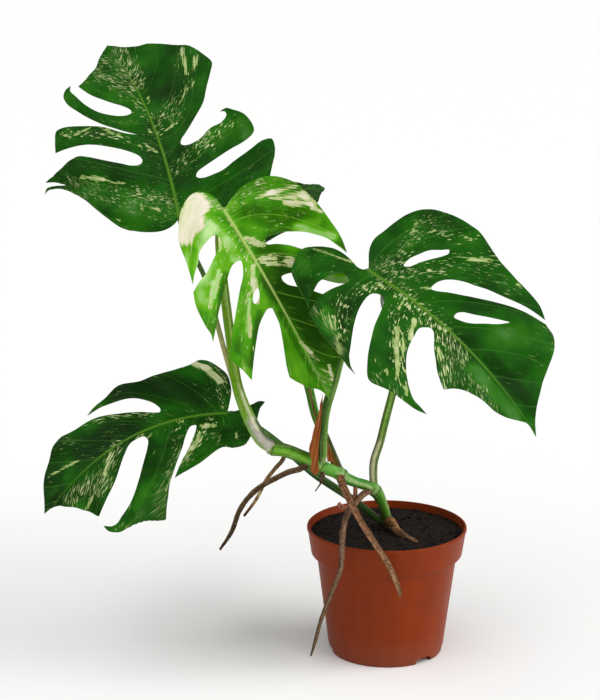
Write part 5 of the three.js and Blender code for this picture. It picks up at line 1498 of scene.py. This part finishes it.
class MONSTERA_OT_roots(Operator):
    """Grow the aerial roots and the two root stubs"""
    bl_idname = "monstera.roots"
    bl_label = "Roots"

    def execute(self, context):
        skin = root_material()
        for seed, (name, route) in enumerate(ROOTS.items()):

            def shape(reached, turn, place, angle):
                knots = 0.1 * grain(place, 7, seed) + 0.05 * grain(place, 2.5, seed + 9)
                wrinkles = 0.04 * math.sin(5 * turn + 0.1 * reached)
                rings = 0.025 * math.sin(reached * 2.4 + 2 * grain(place, 5, seed))
                return 1 + knots + wrinkles + rings

            bm, spot, tint, total = grow_tube(route, sides=16, pitch=1.1, shape=shape)
            paint_tube(spot, tint, total, name)
            finish_piece(bm, f"aerial_{name}", [name], [skin])
        return {"FINISHED"}


class MONSTERA_OT_sheaths(Operator):
    """Shape the two dry sheaths beside the third stalk"""
    bl_idname = "monstera.sheaths"
    bl_label = "Dry sheaths"

    def execute(self, context):
        paper = sheath_material()
        for name, leaf in SHEATHS.items():
            base, along, across, up, length = blade_axes(leaf)
            bm = flat_blade(leaf, length, cell=0.9, rim_step=0.8)
            flow = bm.loops.layers.uv.new("Flow")
            for face in bm.faces:
                for loop in face.loops:
                    loop[flow].uv = (loop.vert.co.x / 100, loop.vert.co.y / 100)
            for vert in bm.verts:
                a, b = vert.co.x, vert.co.y
                curl = 0.35 * math.sin(a * 2.6 + 0.1 * b) + 0.5 * grain((a, b, 0), 5, 3)
                rise = blade_rise(leaf, length, abs(a), b) + curl
                vert.co = base + across * a + along * b + up * rise
            bmesh.ops.solidify(bm, geom=bm.faces[:], thickness=0.5)
            bmesh.ops.recalc_face_normals(bm, faces=bm.faces)
            smooth(bm)
            finish_piece(bm, f"dry_{name}", [name], [paper])
        return {"FINISHED"}


class MONSTERA_OT_blades(Operator):
    """Cut, bend and finish the six leaf blades"""
    bl_idname = "monstera.blades"
    bl_label = "Leaf blades"

    def execute(self, context):
        blade = context.scene.monstera_blade
        looks = {"leaf": old_leaf_look(blade), "young_leaf": young_leaf_look(blade)}
        finishes = {slot: [leaf_material(f"waxy {slot} blade", look, 0.42),
                           leaf_back_material(f"matt {slot} underside", look),
                           leaf_rim_material(f"{slot} rim", look)]
                    for slot, look in looks.items()}
        for seed, (key, leaf) in enumerate(LEAVES.items()):
            slot = "young_leaf" if key == YOUNGEST else "leaf"
            axes = blade_axes(leaf)
            bm = flat_blade(leaf, axes[-1], cell=blade.cell / MM, rim_step=1.4)
            bend_blade(bm, leaf, axes, blade, seed)
            finish_piece(bm, f"blade_{key}", [f"leaf_{key}"], finishes[slot])
        return {"FINISHED"}


class MONSTERA_OT_studio(Operator):
    """Set the camera, a pale floor and soft lights"""
    bl_idname = "monstera.studio"
    bl_label = "Studio"

    def execute(self, context):
        studio = context.scene.monstera_studio
        scene = context.scene
        # The camera looks 14.1 degrees down from 1.9 m away, as the photograph does.
        lens = bpy.data.cameras.new("camera")
        lens.lens, lens.sensor_width = 108.6, 36
        camera = bpy.data.objects.new("camera", lens)
        camera.location = (-0.0822, -1.8995, 0.77075)
        camera.rotation_euler = (math.radians(75.9), 0, 0)
        scene.collection.objects.link(camera)
        scene.camera = camera

        bm = bmesh.new()
        bmesh.ops.create_circle(bm, cap_ends=True, radius=30, segments=96)
        mesh = bpy.data.meshes.new("floor")
        bm.to_mesh(mesh)
        bm.free()
        floor = bpy.data.objects.new("floor", mesh)
        white = {"Base Color": linear("#f7f7f6"), "Roughness": 0.9}
        mesh.materials.append(start_material("matt white floor", white)[0])
        scene.collection.objects.link(floor)

        for name, direction, power in (
                ("key", (1.5, -0.45, 1), studio.key), ("top", (-0.3, -0.4, 1), studio.top)):
            light = bpy.data.lights.new(name, "SUN")
            light.energy, light.angle = power, math.radians(60)
            lamp = bpy.data.objects.new(name, light)
            lamp.rotation_euler = Vector(direction).to_track_quat("Z", "Y").to_euler()
            scene.collection.objects.link(lamp)
        world = bpy.data.worlds.new("pale surround")
        world.use_nodes = True
        sky = world.node_tree.nodes["Background"]
        sky.inputs["Color"].default_value = (1, 1, 1, 1)
        sky.inputs["Strength"].default_value = studio.surround
        scene.world = world
        scene.view_settings.view_transform = "Standard"
        return {"FINISHED"}


class MONSTERA_PT_plant(Panel):
    """Lists what the plant is made of"""
    bl_label = "Potted Monstera"
    bl_idname = "MONSTERA_PT_plant"
    bl_space_type = "VIEW_3D"
    bl_region_type = "UI"
    bl_category = "Monstera"

    def draw(self, context):
        for group, settings, steps in PARTS:
            box = self.layout.box()
            for key in settings.__annotations__:
                box.prop(getattr(context.scene, group), key)
            for step in steps:
                box.operator(step.bl_idname)


PARTS = (
    ("monstera_pot", MONSTERA_PG_pot, (MONSTERA_OT_pot,)),
    ("monstera_soil", MONSTERA_PG_soil, (MONSTERA_OT_soil,)),
    ("monstera_stem", MONSTERA_PG_stem,
     (MONSTERA_OT_stem, MONSTERA_OT_stalks, MONSTERA_OT_roots, MONSTERA_OT_sheaths)),
    ("monstera_blade", MONSTERA_PG_blade, (MONSTERA_OT_blades,)),
    ("monstera_studio", MONSTERA_PG_studio, (MONSTERA_OT_studio,)),
)


def register():
    for group, settings, steps in PARTS:
        for kind in (settings, *steps):
            bpy.utils.register_class(kind)
        setattr(bpy.types.Scene, group, PointerProperty(type=settings))
    bpy.utils.register_class(MONSTERA_PT_plant)


def unregister():
    bpy.utils.unregister_class(MONSTERA_PT_plant)
    for group, settings, steps in reversed(PARTS):
        delattr(bpy.types.Scene, group)
        for kind in (*reversed(steps), settings):
            bpy.utils.unregister_class(kind)


def main():
    register()
    bpy.ops.monstera.pot()
    bpy.ops.monstera.soil()
    bpy.ops.monstera.stem()
    bpy.ops.monstera.stalks()
    bpy.ops.monstera.roots()
    bpy.ops.monstera.sheaths()
    bpy.ops.monstera.blades()
    bpy.ops.monstera.studio()


if __name__ == "__main__":
    main()
